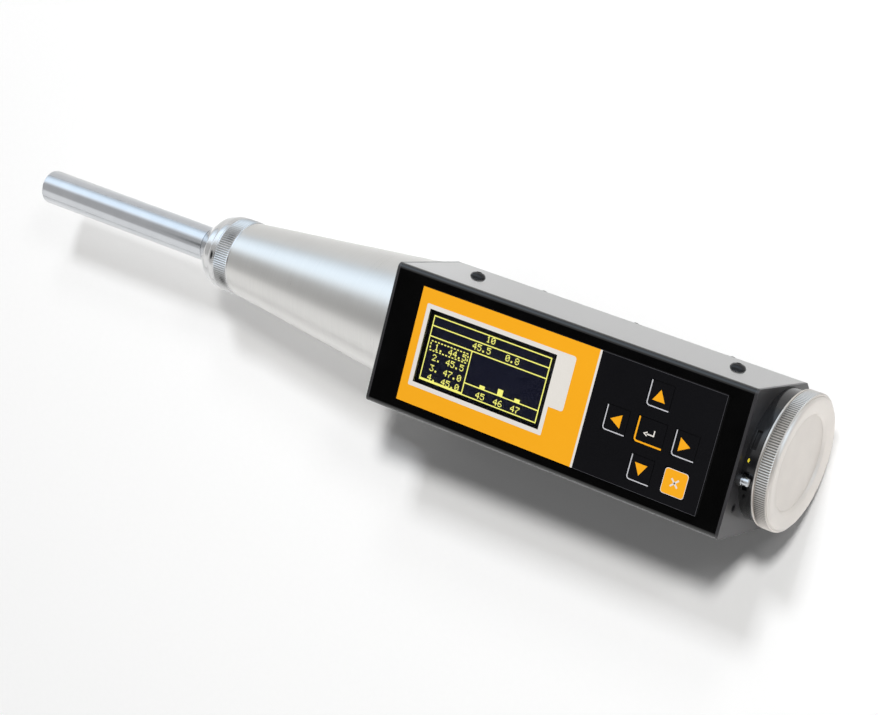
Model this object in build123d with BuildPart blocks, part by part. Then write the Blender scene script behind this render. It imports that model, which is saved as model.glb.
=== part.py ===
from build123d import *
import math
import os

# Rebound hammer for concrete, with a display housing round its rear half.
# Millimetres. X runs along the hammer, plunger towards -X. Z points out of the display.
# The origin is the middle of the flat back that the hammer lies on.

# Fits
RUNNING = 0.08
SLEEVE_FIT = 0.05
CLEAR = 0.3
TOUCH = 0.05

# Body tube, and what fits inside it
TUBE_R = 20.8
TUBE_WALL = 1.6
TUBE_BORE = TUBE_R - TUBE_WALL
RIDER_SPACE = 4.0
MASS_R = TUBE_BORE - RIDER_SPACE
MASS_LENGTH = 70.0
FLANGE_R = MASS_R - 2.2
FLANGE = 4.0
GROOVE = 3.6
NECK = 8.0
BAR_R = 4.0
BAR_SOCKET = 20.0
PLUNGER_R = 7.5
PLUNGER_REACH = 92.8
PLUNGER_CROWN = 25.0
PLUNGER_EDGE = 0.6
PLUNGER_HEAD_R = 9.2
PLUNGER_HEAD = 5.3
GROOVE_DEPTH = 0.3
SLEEVE_LENGTH = 17.0
SLEEVE_DEPTH = 10.8
SPRING_SEAT = 5.0
DISK_THICKNESS = 6.0
DISK_GAP = 3.0
IMPACT_WIRE = 1.9
IMPACT_COIL_R = PLUNGER_HEAD_R + 0.45 + IMPACT_WIRE / 2
RETURN_WIRE = 1.4
RETURN_COIL_R = FLANGE_R
RETAINING_WIRE = 0.8
RETAINING_SPRING = 5.0
PAWL_WIDTH = 4.0
PAWL_PIN_R = 1.2
PAWL_PIVOT_R = FLANGE_R - 3.5
PAWL_TAIL = 2.5
RIDER_TRAVEL = 75.0
RIDER_LENGTH = 7.0
RIDER_WIDTH = 6.0
FLAG_WIDTH = 2.6
FLAG_LENGTH = 5.0
RIDER_ROD_R = 0.8
RIDER_ROD_OFFSET = TUBE_BORE - 1.9
LUG_LENGTH = 3.6
LUG_WIDTH = 5.0

# Travels
STROKE = 78.0
STRIKE = 75.0
BLOW_GAP = 0.4
TRIP_GAP = 0.4
TRIP_REACH = 1.9
TRIP_SCREW_R = 2.5

# Outside of the hammer
COLLAR_WALL = 5.0
COLLAR_R = TUBE_R + COLLAR_WALL
COLLAR_LENGTH = 5.5
COLLAR_GRIP = 4.0
SPANNER_TURN = 17.8
SPANNER_SLOT = 7.3
CAP_R = COLLAR_R + 1.2
CAP_LENGTH = 7.8
CAP_RIM = 0.8
CAP_KNURL = 4.9
CAP_BEAD_R = CAP_R - 0.9
CAP_THREAD = 3.4
CAP_BOSS = 3.4
DISH_R = CAP_R - 7.0
DISH_DEPTH = 1.8
CAP_WALL = 2.0
CONE_REAR_R = COLLAR_R + 1.7
CONE_BORE_R = MASS_R + 0.5
CONE_FRONT_R = MASS_R + 0.9
NOSE_R = CONE_FRONT_R + 0.3
NOSE_LENGTH = 25.0
NOSE_MOUTH_R = PLUNGER_R + 0.9
NOSE_DOME = 17.3
SPIGOT_LENGTH = 11.0
FELT = 4.0
FELT_R = PLUNGER_R + 5.0
SAW_CUT = 0.6

# Straight knurls
KNURL_DEPTH = 0.45
CAP_TEETH = 168
NOSE_TEETH = 102
NOSE_KNURL = 7.0

# Display housing
BOX_LENGTH = 156.0
SHEET = 1.5
COVER_DEPTH = 40.0
COVER_BEND = 2.0
PLATE = 1.2
BACK_FLAT = 36.0
BACK_SIDE = 4.5

# Electronics
SENSOR = 0.4
SENSOR_GAP = 0.8
SENSOR_WIDTH = 5.0
BOARD = 1.6
BOARD_LENGTH = BOX_LENGTH - 20.0
BOARD_SHIFT = -2.0
STANDOFF_R = 2.2
STANDOFF_INSET = 3.0
DISPLAY_THICKNESS = 4.6
DISPLAY_GAP = 0.5
BATTERY_LENGTH = 70.0
BATTERY_THICKNESS = 6.8
BATTERY_HEIGHT = 30.0
CLIP_WALL = 1.1

# Hammer axis in the housing
AXIS_SIDE = 2.0
AXIS_HEIGHT = CAP_R + 1.6
AXIS_TO_FACE = TUBE_R + SENSOR_GAP + SENSOR + BOARD + DISPLAY_THICKNESS + DISPLAY_GAP + SHEET
FACE_Z = AXIS_HEIGHT + AXIS_TO_FACE
HALF_WIDTH = TUBE_R - AXIS_SIDE + CLEAR + BATTERY_THICKNESS + CLIP_WALL + SHEET
INNER_HALF = HALF_WIDTH - SHEET
COVER_EDGE_Z = FACE_Z - COVER_DEPTH
FLANK_HEIGHT = COVER_EDGE_Z - BACK_SIDE

# Keypad and window
LABEL_LENGTH = BOX_LENGTH - 22.0
LABEL_WIDTH = 2 * HALF_WIDTH - 11.0
LABEL_SHIFT = 2.0
LABEL_THICKNESS = 0.8
BOARD_WIDTH = LABEL_WIDTH
WINDOW_LENGTH = 58.3
WINDOW_WIDTH = 29.5
WINDOW_RIM = 0.9
WINDOW_X = 47.5 - BOX_LENGTH / 2
WINDOW_Y = 0.7
CORNER = 1.5
KEY = 9.8
ENTER_KEY = 12.1
KEY_THICKNESS = 0.45
KEY_TRAVEL = 0.25
KEY_GAP = 0.2
KEYPAD_X = BOX_LENGTH / 2 - 34.7
KEY_PITCH_X = 14.6
KEY_PITCH_Y = 14.3
STEM_R = 1.8
STEM = 2.7
SWITCH = 6.0
SWITCH_BUTTON = 3.0
SWITCH_TRAVEL = 0.7

# Fixings and small parts
SIDE_SCREW_X = BOX_LENGTH / 2 - 19.7
SIDE_SCREW_RISE = 3.8
SIDE_SCREW_HEAD_R = 3.1
SIDE_SCREW_HEAD = 1.9
SIDE_SCREW_GRIP = 3.4
SCREW_R = 1.5
SADDLE = 10.0
BACK_SCREW_PITCH = SIDE_SCREW_X - 15.6
BACK_SCREW_X = 4.0
BACK_SCREW_R = 1.25
BACK_SCREW_HEAD_R = 2.2
BACK_SCREW_HEAD = 1.5
BACK_SCREW_DROP = 3.4
RAIL = 3.0
RAIL_WIDTH = 5.0
BUTTON_R = 1.7
BUTTON_WALL = 0.4
BUTTON_REACH = 4.9
BUTTON_TRAVEL = 1.0
BUTTON_STEM = 5.0
BUTTON_STEM_R = 0.7
BUSH_REACH = 1.8
BUTTON_Y = -5.2
BUTTON_Z = FACE_Z - 3.0
SWITCH_CASE = 8.0
SWITCH_CASE_R = 1.45
SOCKET_R = 1.2
SOCKET_WALL = 0.7
SOCKET_LENGTH = 7.0
SOCKET_DEPTH = 5.0
SOCKET_Y = -17.0
SOCKET_Z = FACE_Z - 7.1

# Stations along the hammer
FRONT = -BOX_LENGTH / 2 - PLATE
REAR = BOX_LENGTH / 2 + PLATE
CAP = REAR + COLLAR_LENGTH
CAP_END = CAP + CAP_LENGTH
CAP_INNER = CAP_END - DISH_DEPTH - CAP_WALL
DISK_REAR = CAP_INNER - CAP_BOSS - TRIP_REACH - TRIP_GAP - STROKE - 2 * PAWL_TAIL
DISK = DISK_REAR - DISK_THICKNESS
MASS_REAR = DISK - DISK_GAP
MASS_FRONT = MASS_REAR - MASS_LENGTH
PLUNGER_REAR = MASS_FRONT - STRIKE - BLOW_GAP
SLEEVE_REAR = PLUNGER_REAR - PLUNGER_HEAD - CLEAR
SLEEVE_FRONT = SLEEVE_REAR - SLEEVE_LENGTH
SEAM = SLEEVE_REAR - SLEEVE_DEPTH
NOSE = SEAM - NOSE_LENGTH
TIP = NOSE - PLUNGER_REACH

HAMMER = Plane(origin=(0, AXIS_SIDE, AXIS_HEIGHT), x_dir=(1, 0, 0), z_dir=(0, -1, 0))
HAMMER_AXIS = Axis((0, AXIS_SIDE, AXIS_HEIGHT), (1, 0, 0))


def across(x):
    """Plane square to the hammer at station x, centred on its axis, with its local x along Y."""
    return Plane(origin=(x, AXIS_SIDE, AXIS_HEIGHT), x_dir=(0, 1, 0), z_dir=(1, 0, 0))


def box_section(x):
    """Plane square to the housing at station x, centred on its width, at the rest face."""
    return Plane(origin=(x, 0, 0), x_dir=(0, 1, 0), z_dir=(1, 0, 0))


def turned(*outline, mode=Mode.ADD):
    """Turn a closed outline of (station, radius) corners about the hammer axis."""
    with BuildSketch(HAMMER) as profile:
        with BuildLine():
            Polyline(*outline, close=True)
        make_face()
    revolve(profile.sketch, axis=HAMMER_AXIS, mode=mode)


def bored(start, end, radius):
    """Bore a hole of this radius along the hammer axis between two stations."""
    turned((start, 0), (end, 0), (end, radius), (start, radius), mode=Mode.SUBTRACT)


def knurled_band(start, width, radius, teeth):
    """Push a straight-knurled section along the hammer axis."""
    step = math.pi / teeth
    crests = [
        ((radius - KNURL_DEPTH * (i % 2)) * math.cos(i * step),
         (radius - KNURL_DEPTH * (i % 2)) * math.sin(i * step))
        for i in range(2 * teeth)
    ]
    with BuildSketch(across(start)) as band:
        with BuildLine():
            Polyline(*crests, close=True)
        make_face()
    extrude(band.sketch, amount=width)


def spring_tube(start, end, radius, wire):
    """Turn the plain tube that a coil spring of this mean radius and wire fills."""
    turned(
        (start, radius - wire / 2),
        (end, radius - wire / 2),
        (end, radius + wire / 2),
        (start, radius + wire / 2),
    )


os.makedirs("parts", exist_ok=True)

# Hammer, outside

# Tapered front casing, turned from aluminium, with a threaded spigot for the nose cap
spigot_r = NOSE_R - 1.9
spigot_bore = spigot_r - 1.5
spigot_front = SEAM - SPIGOT_LENGTH
cone_bore_front = SLEEVE_REAR - 2.0
tube_front = FRONT - 2 * COLLAR_GRIP
with BuildPart() as front_casing:
    turned(
        (FRONT, 0),
        (FRONT, CONE_REAR_R),
        (SEAM, CONE_FRONT_R),
        (SEAM, spigot_r),
        (spigot_front, spigot_r),
        (spigot_front, 0),
    )
    turned(
        (FRONT, 0),
        (FRONT, TUBE_R),
        (tube_front, TUBE_R),
        (tube_front, CONE_BORE_R),
        (cone_bore_front, CONE_BORE_R),
        (cone_bore_front, spigot_bore),
        (spigot_front, spigot_bore),
        (spigot_front, 0),
        mode=Mode.SUBTRACT,
    )
front_casing.part.label = "front_casing"
export_step(front_casing.part, "parts/front_casing.step")

# Nose cap with domed mouth and a straight-knurled grip, screwed on the spigot
nose_knurl_front = SEAM - 0.6 - NOSE_KNURL
nose_swell = NOSE_R - KNURL_DEPTH - NOSE_MOUTH_R
nose_core_r = NOSE_R - KNURL_DEPTH - 0.3
with BuildPart() as nose_cap:
    turned(
        (SEAM, 0),
        (NOSE, 0),
        (NOSE, NOSE_MOUTH_R),
        (NOSE + 0.18 * NOSE_DOME, NOSE_MOUTH_R + 0.43 * nose_swell),
        (NOSE + 0.36 * NOSE_DOME, NOSE_MOUTH_R + 0.64 * nose_swell),
        (NOSE + 0.70 * NOSE_DOME, NOSE_MOUTH_R + 0.89 * nose_swell),
        (nose_knurl_front, NOSE_MOUTH_R + nose_swell - 0.1),
        (nose_knurl_front, nose_core_r),
        (SEAM - 0.6, nose_core_r),
        (SEAM - 0.6, NOSE_MOUTH_R + nose_swell - 0.1),
        (SEAM, NOSE_MOUTH_R + nose_swell - 0.1),
    )
    knurled_band(nose_knurl_front, NOSE_KNURL, NOSE_R, NOSE_TEETH)
    bored(SEAM, spigot_front, spigot_r + TOUCH)
    bored(spigot_front, spigot_front - FELT, FELT_R)
    bored(spigot_front, NOSE, PLUNGER_R + 0.5)
nose_cap.part.label = "nose_cap"
export_step(nose_cap.part, "parts/nose_cap.step")

# Felt wiper that keeps concrete dust out, packed in the nose cap
with BuildPart() as felt_seal:
    turned(
        (spigot_front - FELT, PLUNGER_R + CLEAR),
        (spigot_front, PLUNGER_R + CLEAR),
        (spigot_front, FELT_R),
        (spigot_front - FELT, FELT_R),
    )
felt_seal.part.label = "felt_seal"
export_step(felt_seal.part, "parts/felt_seal.step")

# Retaining ring in two halves, between the spigot's mouth and the guide sleeve
with BuildPart() as split_ring:
    turned(
        (spigot_front, PLUNGER_R + CLEAR),
        (SLEEVE_FRONT - TOUCH, PLUNGER_R + CLEAR),
        (SLEEVE_FRONT - TOUCH, spigot_bore - TOUCH),
        (spigot_front, spigot_bore - TOUCH),
    )
    with BuildSketch(HAMMER) as saw_cut:
        with Locations((spigot_front, 0)):
            Rectangle(2 * SPIGOT_LENGTH, SAW_CUT)
    extrude(saw_cut.sketch, amount=spigot_r, both=True, mode=Mode.SUBTRACT)
split_ring.part.label = "split_ring"
export_step(split_ring.part, "parts/split_ring.step")

# Guide sleeve: the plunger runs in it, and the impact spring grips its rear seat
spring_seat_r = IMPACT_COIL_R - IMPACT_WIRE / 2 - 0.1
with BuildPart() as guide_sleeve:
    turned(
        (SLEEVE_FRONT, PLUNGER_R + SLEEVE_FIT),
        (SLEEVE_REAR, PLUNGER_R + SLEEVE_FIT),
        (SLEEVE_REAR, spring_seat_r),
        (SLEEVE_REAR - SPRING_SEAT, spring_seat_r),
        (SLEEVE_REAR - SPRING_SEAT, spigot_bore - TOUCH),
        (SLEEVE_FRONT, spigot_bore - TOUCH),
    )
guide_sleeve.part.label = "guide_sleeve"
export_step(guide_sleeve.part, "parts/guide_sleeve.step")

# Body tube that the mechanism runs in, slotted on top for the rider, with two rod lugs
slot_front = FRONT + 10.0
slot_rear = slot_front + RIDER_TRAVEL + 13.0
lug_front = slot_front - 2.2 - LUG_LENGTH
lug_rear = slot_rear + 2.2
lug_inner = CONE_BORE_R
tube_rear = REAR - 5.0
with BuildPart() as body_tube:
    turned((tube_front, TUBE_BORE), (tube_rear, TUBE_BORE), (tube_rear, TUBE_R), (tube_front, TUBE_R))
    with BuildSketch(Plane.XY.offset(AXIS_HEIGHT + TUBE_BORE - 1.5)) as rider_slot:
        with Locations(((slot_front + slot_rear) / 2, AXIS_SIDE)):
            SlotOverall(slot_rear - slot_front, FLAG_WIDTH + 0.8)
    extrude(rider_slot.sketch, amount=3 * TUBE_WALL, mode=Mode.SUBTRACT)
    with BuildSketch(Plane.XY.offset(AXIS_HEIGHT + lug_inner)) as lugs:
        with Locations((lug_front + LUG_LENGTH / 2, AXIS_SIDE), (lug_rear + LUG_LENGTH / 2, AXIS_SIDE)):
            Rectangle(LUG_LENGTH, LUG_WIDTH)
    extrude(lugs.sketch, amount=TUBE_BORE + TUBE_WALL / 2 - lug_inner)
    with BuildSketch(across(lug_front)) as rod_holes:
        with Locations((0, RIDER_ROD_OFFSET)):
            Circle(RIDER_ROD_R)
    extrude(rod_holes.sketch, amount=lug_rear + LUG_LENGTH - lug_front, mode=Mode.SUBTRACT)
body_tube.part.label = "body_tube"
export_step(body_tube.part, "parts/body_tube.step")

# Black collar behind the housing, with two spanner slots and a threaded rear spigot
collar_front = tube_rear - COLLAR_GRIP
collar_inner_r = INNER_HALF - AXIS_SIDE - CLEAR
cap_thread_r = CAP_R - 3.2
with BuildPart() as rear_collar:
    turned(
        (collar_front, TUBE_R + TOUCH),
        (tube_rear, TUBE_R + TOUCH),
        (tube_rear, TUBE_BORE),
        (CAP + CAP_THREAD, TUBE_BORE),
        (CAP + CAP_THREAD, cap_thread_r),
        (CAP, cap_thread_r),
        (CAP, COLLAR_R),
        (REAR - PLATE, COLLAR_R),
        (REAR - PLATE, collar_inner_r),
        (collar_front, collar_inner_r),
    )
    with BuildSketch(across(REAR + 1.0)) as spanner_slots:
        for turn in (-SPANNER_TURN, SPANNER_TURN):
            with PolarLocations(COLLAR_R - 0.4, 1, start_angle=90 + turn):
                Rectangle(2.4, SPANNER_SLOT)
    extrude(spanner_slots.sketch, amount=2.0, mode=Mode.SUBTRACT)
rear_collar.part.label = "rear_collar"
export_step(rear_collar.part, "parts/rear_collar.step")

# Rear screw cap: plain front rim, straight knurl, rounded bead and a dished end
bead = CAP_LENGTH - CAP_RIM - CAP_KNURL
cap_core_r = CAP_R - KNURL_DEPTH - 0.3
boss_front = CAP_INNER - CAP_BOSS
boss_r = 2.4 * TRIP_SCREW_R
screw_end = CAP_INNER + CAP_WALL / 2
with BuildPart() as end_cap:
    turned(
        (CAP, 0),
        (CAP, CAP_R + 0.05),
        (CAP + CAP_RIM, CAP_R + 0.05),
        (CAP + CAP_RIM, cap_core_r),
        (CAP_END - bead, cap_core_r),
        (CAP_END - bead, CAP_BEAD_R),
        (CAP_END - 0.5 * bead, CAP_BEAD_R),
        (CAP_END, CAP_BEAD_R - 1.4),
        (CAP_END, CAP_BEAD_R - 2.6),
        (CAP_END - DISH_DEPTH, DISH_R),
        (CAP_END - DISH_DEPTH, 0),
    )
    knurled_band(CAP + CAP_RIM, CAP_KNURL, CAP_R, CAP_TEETH)
    turned(
        (CAP, 0),
        (CAP, cap_thread_r + TOUCH),
        (CAP_INNER, cap_thread_r + TOUCH),
        (CAP_INNER, 0),
        mode=Mode.SUBTRACT,
    )
    turned((boss_front, 0), (CAP_INNER, 0), (CAP_INNER, boss_r), (boss_front, boss_r))
    bored(boss_front, screw_end, TRIP_SCREW_R)
end_cap.part.label = "end_cap"
export_step(end_cap.part, "parts/end_cap.step")

# Hammer, moving mechanism

# Impact plunger: crowned striking end, ground shank with a ring groove at the mouth that
# marks full reach, and a head stopped by the guide sleeve
crown_r = PLUNGER_R - PLUNGER_EDGE
crown_rise = PLUNGER_CROWN - math.sqrt(PLUNGER_CROWN**2 - crown_r**2)
with BuildPart() as impact_plunger:
    with BuildSketch(HAMMER) as shank:
        with BuildLine():
            RadiusArc((TIP, 0), (TIP + crown_rise, crown_r), -PLUNGER_CROWN)
            Polyline(
                (TIP + crown_rise, crown_r),
                (TIP + crown_rise + PLUNGER_EDGE, PLUNGER_R),
                (NOSE - 0.4, PLUNGER_R),
                (NOSE - 0.4, PLUNGER_R - GROOVE_DEPTH),
                (NOSE + 1.2, PLUNGER_R - GROOVE_DEPTH),
                (NOSE + 1.2, PLUNGER_R),
                (SLEEVE_REAR + CLEAR, PLUNGER_R),
                (SLEEVE_REAR + CLEAR, PLUNGER_HEAD_R),
                (PLUNGER_REAR - 0.5, PLUNGER_HEAD_R),
                (PLUNGER_REAR, PLUNGER_HEAD_R - 0.5),
                (PLUNGER_REAR, 0),
                (TIP, 0),
            )
        make_face()
    revolve(shank.sketch, axis=HAMMER_AXIS)
    bored(PLUNGER_REAR - BAR_SOCKET, PLUNGER_REAR, BAR_R + RUNNING)
impact_plunger.part.label = "impact_plunger"
export_step(impact_plunger.part, "parts/impact_plunger.step")

# Retaining spring in the plunger's bore, ahead of the guide bar
bar_front = PLUNGER_REAR - BAR_SOCKET + RETAINING_SPRING
with BuildPart() as retaining_spring:
    spring_tube(PLUNGER_REAR - BAR_SOCKET, bar_front, BAR_R - RETAINING_WIRE, RETAINING_WIRE)
retaining_spring.part.label = "retaining_spring"
export_step(retaining_spring.part, "parts/retaining_spring.step")

# Guide bar that the hammer mass flies along
with BuildPart() as guide_bar:
    turned(
        (bar_front, 0),
        (bar_front, BAR_R - 0.5),
        (bar_front + 0.5, BAR_R),
        (DISK_REAR, BAR_R),
        (DISK_REAR, 0),
    )
guide_bar.part.label = "guide_bar"
export_step(guide_bar.part, "parts/guide_bar.step")

# Guide disk on the bar's rear end: pawl slot below, notch above for the rider
pawl_pivot_x = DISK + DISK_THICKNESS / 2
pawl_slot = 2 * PAWL_WIDTH
rider_notch = RIDER_WIDTH + 3.0
with BuildPart() as guide_disk:
    turned((DISK, 0), (DISK_REAR, 0), (DISK_REAR, TUBE_BORE - 0.1), (DISK, TUBE_BORE - 0.1))
    bored(DISK, DISK_REAR, BAR_R)
    with BuildSketch(across(DISK)) as disk_cuts:
        with Locations((0, MASS_R + rider_notch / 2)):
            Rectangle(rider_notch, rider_notch)
        with Locations((0, -BAR_R - 2.5 - TUBE_R / 2)):
            Rectangle(pawl_slot, TUBE_R)
    extrude(disk_cuts.sketch, amount=DISK_THICKNESS, mode=Mode.SUBTRACT)
    with BuildSketch(HAMMER) as pin_hole:
        with Locations((pawl_pivot_x, -PAWL_PIVOT_R)):
            Circle(PAWL_PIN_R)
    extrude(pin_hole.sketch, amount=pawl_slot / 2 + 3.0, both=True, mode=Mode.SUBTRACT)
guide_disk.part.label = "guide_disk"
export_step(guide_disk.part, "parts/guide_disk.step")

# Pin that the pawl turns on, pressed across the disk's slot
with BuildPart() as pawl_pin:
    with BuildSketch(HAMMER) as pin_section:
        with Locations((pawl_pivot_x, -PAWL_PIVOT_R)):
            Circle(PAWL_PIN_R)
    extrude(pin_section.sketch, amount=pawl_slot / 2 + 3.0, both=True)
pawl_pin.part.label = "pawl_pin"
export_step(pawl_pin.part, "parts/pawl_pin.step")

# Hammer mass: spring neck in front, flange and groove behind for the pawl
neck_r = IMPACT_COIL_R - IMPACT_WIRE / 2 - CLEAR
groove_r = FLANGE_R - 2.6
with BuildPart() as hammer_mass:
    turned(
        (MASS_FRONT, BAR_R + RUNNING),
        (MASS_FRONT, neck_r),
        (MASS_FRONT + NECK, neck_r),
        (MASS_FRONT + NECK, MASS_R),
        (MASS_REAR - FLANGE - GROOVE - 1.5, MASS_R),
        (MASS_REAR - FLANGE - GROOVE, groove_r),
        (MASS_REAR - FLANGE, groove_r),
        (MASS_REAR - FLANGE, FLANGE_R),
        (MASS_REAR, FLANGE_R),
        (MASS_REAR, BAR_R + RUNNING),
    )
hammer_mass.part.label = "hammer_mass"
export_step(hammer_mass.part, "parts/hammer_mass.step")

# Pawl: hook over the mass's flange, eye on the pin, tail behind the disk for the trip screw
hook_outer = FLANGE_R + 2.4
hook_tip_r = FLANGE_R - 1.6
with BuildPart() as pawl:
    with BuildSketch(HAMMER) as lever:
        with BuildLine():
            Polyline(
                (MASS_REAR - FLANGE - 2.6, -hook_tip_r),
                (MASS_REAR - FLANGE - 0.5, -hook_tip_r),
                (MASS_REAR - FLANGE - 0.5, -FLANGE_R - 0.4),
                (MASS_REAR + 0.5, -FLANGE_R - 0.4),
                (pawl_pivot_x - 2.2, -PAWL_PIVOT_R + 1.2),
                (pawl_pivot_x, -PAWL_PIVOT_R + 2 * PAWL_PIN_R),
                (DISK_REAR + PAWL_TAIL, -PAWL_PIVOT_R + 2 * PAWL_PIN_R),
                (DISK_REAR + PAWL_TAIL, TRIP_SCREW_R - 0.7),
                (DISK_REAR + 2 * PAWL_TAIL, TRIP_SCREW_R - 0.7),
                (DISK_REAR + 2 * PAWL_TAIL, -PAWL_PIVOT_R - 1.6),
                (pawl_pivot_x + 1.0, -PAWL_PIVOT_R - 2 * PAWL_PIN_R),
                (MASS_REAR + 2.0, -hook_outer),
                (MASS_REAR - FLANGE - 2.0, -hook_outer),
                close=True,
            )
        make_face()
        with Locations((pawl_pivot_x, -PAWL_PIVOT_R)):
            Circle(PAWL_PIN_R + RUNNING, mode=Mode.SUBTRACT)
    extrude(lever.sketch, amount=PAWL_WIDTH / 2, both=True)
pawl.part.label = "pawl"
export_step(pawl.part, "parts/pawl.step")

# Rider on its rod above the mass, with a flag that reaches up through the tube's slot
rider_x = slot_front + 6.5
rider_outer = TUBE_BORE - CLEAR
with BuildPart() as rider:
    with BuildSketch(across(rider_x - RIDER_LENGTH / 2)) as rider_block:
        with Locations((0, (lug_inner + rider_outer) / 2)):
            RectangleRounded(RIDER_WIDTH, rider_outer - lug_inner, 0.5)
    extrude(rider_block.sketch, amount=RIDER_LENGTH)
    with BuildSketch(Plane.XY.offset(AXIS_HEIGHT + rider_outer)) as rider_flag:
        with Locations((rider_x, AXIS_SIDE)):
            Rectangle(FLAG_LENGTH, FLAG_WIDTH)
    extrude(rider_flag.sketch, amount=TUBE_WALL + 2 * CLEAR)
    with BuildSketch(across(rider_x - RIDER_LENGTH / 2)) as rider_bore:
        with Locations((0, RIDER_ROD_OFFSET)):
            Circle(RIDER_ROD_R + TOUCH)
    extrude(rider_bore.sketch, amount=RIDER_LENGTH, mode=Mode.SUBTRACT)
rider.part.label = "rider"
export_step(rider.part, "parts/rider.step")

# Rod that the rider slides on, pressed in the tube's two lugs
with BuildPart() as rider_rod:
    with BuildSketch(across(lug_front)) as rod_section:
        with Locations((0, RIDER_ROD_OFFSET)):
            Circle(RIDER_ROD_R)
    extrude(rod_section.sketch, amount=lug_rear + LUG_LENGTH - lug_front)
rider_rod.part.label = "rider_rod"
export_step(rider_rod.part, "parts/rider_rod.step")

# Springs of the mechanism, at rest
with BuildPart() as impact_spring:
    spring_tube(SLEEVE_REAR - SPRING_SEAT, MASS_FRONT + NECK - CLEAR, IMPACT_COIL_R, IMPACT_WIRE)
impact_spring.part.label = "impact_spring"
export_step(impact_spring.part, "parts/impact_spring.step")

with BuildPart() as return_spring:
    spring_tube(DISK_REAR + CLEAR, CAP_INNER, RETURN_COIL_R, RETURN_WIRE)
return_spring.part.label = "return_spring"
export_step(return_spring.part, "parts/return_spring.step")

# Torsion spring beside the pawl, wound on its pin
with BuildPart() as pawl_spring:
    with BuildSketch(HAMMER.offset(PAWL_WIDTH / 2 + CLEAR)) as spring_ring:
        with Locations((pawl_pivot_x, -PAWL_PIVOT_R)):
            Circle(PAWL_PIN_R + RETAINING_WIRE)
            Circle(PAWL_PIN_R, mode=Mode.SUBTRACT)
    extrude(spring_ring.sketch, amount=2 * RETAINING_WIRE)
pawl_spring.part.label = "pawl_spring"
export_step(pawl_spring.part, "parts/pawl_spring.step")

# Trip screw in the end cap's boss, and its lock nut
trip_front = boss_front - TRIP_REACH
locknut = TRIP_REACH - 0.2
with BuildPart() as trip_screw:
    turned(
        (trip_front, 0),
        (trip_front, TRIP_SCREW_R - 0.5),
        (trip_front + 0.5, TRIP_SCREW_R),
        (screw_end, TRIP_SCREW_R),
        (screw_end, 0),
    )
trip_screw.part.label = "trip_screw"
export_step(trip_screw.part, "parts/trip_screw.step")

with BuildPart() as trip_locknut:
    with BuildSketch(across(boss_front - locknut)) as nut_section:
        RegularPolygon(1.6 * TRIP_SCREW_R, 6, major_radius=False)
        Circle(TRIP_SCREW_R, mode=Mode.SUBTRACT)
    extrude(nut_section.sketch, amount=locknut)
trip_locknut.part.label = "trip_locknut"
export_step(trip_locknut.part, "parts/trip_locknut.step")

# Display housing

sheet_under = FACE_Z - SHEET
key_places = {
    "key_up": (KEYPAD_X, KEY_PITCH_Y, KEY),
    "key_left": (KEYPAD_X - KEY_PITCH_X, 0, KEY),
    "key_enter": (KEYPAD_X, 0, ENTER_KEY),
    "key_right": (KEYPAD_X + KEY_PITCH_X, 0, KEY),
    "key_down": (KEYPAD_X, -KEY_PITCH_Y, KEY),
    "key_escape": (KEYPAD_X + KEY_PITCH_X, -KEY_PITCH_Y, KEY),
}
key_centres = [(x, y) for x, y, length in key_places.values()]
window_hole_length = WINDOW_LENGTH + 2 * WINDOW_RIM
window_hole_width = WINDOW_WIDTH + 2 * WINDOW_RIM
side_screw_z = AXIS_HEIGHT + SIDE_SCREW_RISE
side_screw_places = [(-SIDE_SCREW_X, side_screw_z), (SIDE_SCREW_X, side_screw_z)]

# Front cover: one black sheet folded into a channel, with window and key-stem holes
with BuildPart() as front_cover:
    with BuildSketch(box_section(-BOX_LENGTH / 2)) as channel:
        with Locations((0, FACE_Z - COVER_DEPTH / 2)):
            Rectangle(2 * HALF_WIDTH, COVER_DEPTH)
        fillet(channel.vertices().group_by(Axis.Y)[-1], COVER_BEND)
        with Locations((0, FACE_Z - SHEET - COVER_DEPTH / 2)):
            Rectangle(2 * INNER_HALF, COVER_DEPTH, mode=Mode.SUBTRACT)
    extrude(channel.sketch, amount=BOX_LENGTH)
    with BuildSketch(Plane.XY.offset(sheet_under)) as face_holes:
        with Locations((WINDOW_X, WINDOW_Y)):
            RectangleRounded(window_hole_length, window_hole_width, CORNER)
        with Locations(*key_centres):
            Rectangle(2 * STEM_R + 1.0, 2 * STEM_R + 1.0)
    extrude(face_holes.sketch, amount=SHEET, mode=Mode.SUBTRACT)
    with BuildSketch(Plane.XZ) as side_holes:
        with Locations(*side_screw_places):
            Circle(SCREW_R)
    extrude(side_holes.sketch, amount=HALF_WIDTH, both=True, mode=Mode.SUBTRACT)
front_cover.part.label = "front_cover"
export_step(front_cover.part, "parts/front_cover.step")


def housing_outline(inset=0.0, top=FACE_Z):
    """Corners of the housing's section, drawn in by a sheet's thickness."""
    flank = math.hypot(HALF_WIDTH - BACK_FLAT / 2, FLANK_HEIGHT)
    run, rise = (HALF_WIDTH - BACK_FLAT / 2) / flank, FLANK_HEIGHT / flank
    shift = inset / rise
    foot = BACK_FLAT / 2 - shift + inset * run / rise
    shoulder = FLANK_HEIGHT + (shift - inset) * rise / run
    side = HALF_WIDTH - inset
    return [(-side, top), (-side, shoulder), (-foot, inset), (foot, inset), (side, shoulder), (side, top)]


# Back cover: folded sheet with slanted flanks and a flat back to lie on
flank_angle = math.degrees(math.atan2(FLANK_HEIGHT, HALF_WIDTH - BACK_FLAT / 2))
flank_length = math.hypot(HALF_WIDTH - BACK_FLAT / 2, FLANK_HEIGHT)
back_screw_places = [(BACK_SCREW_X + i * BACK_SCREW_PITCH) for i in (-1, 0, 1)]


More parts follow.
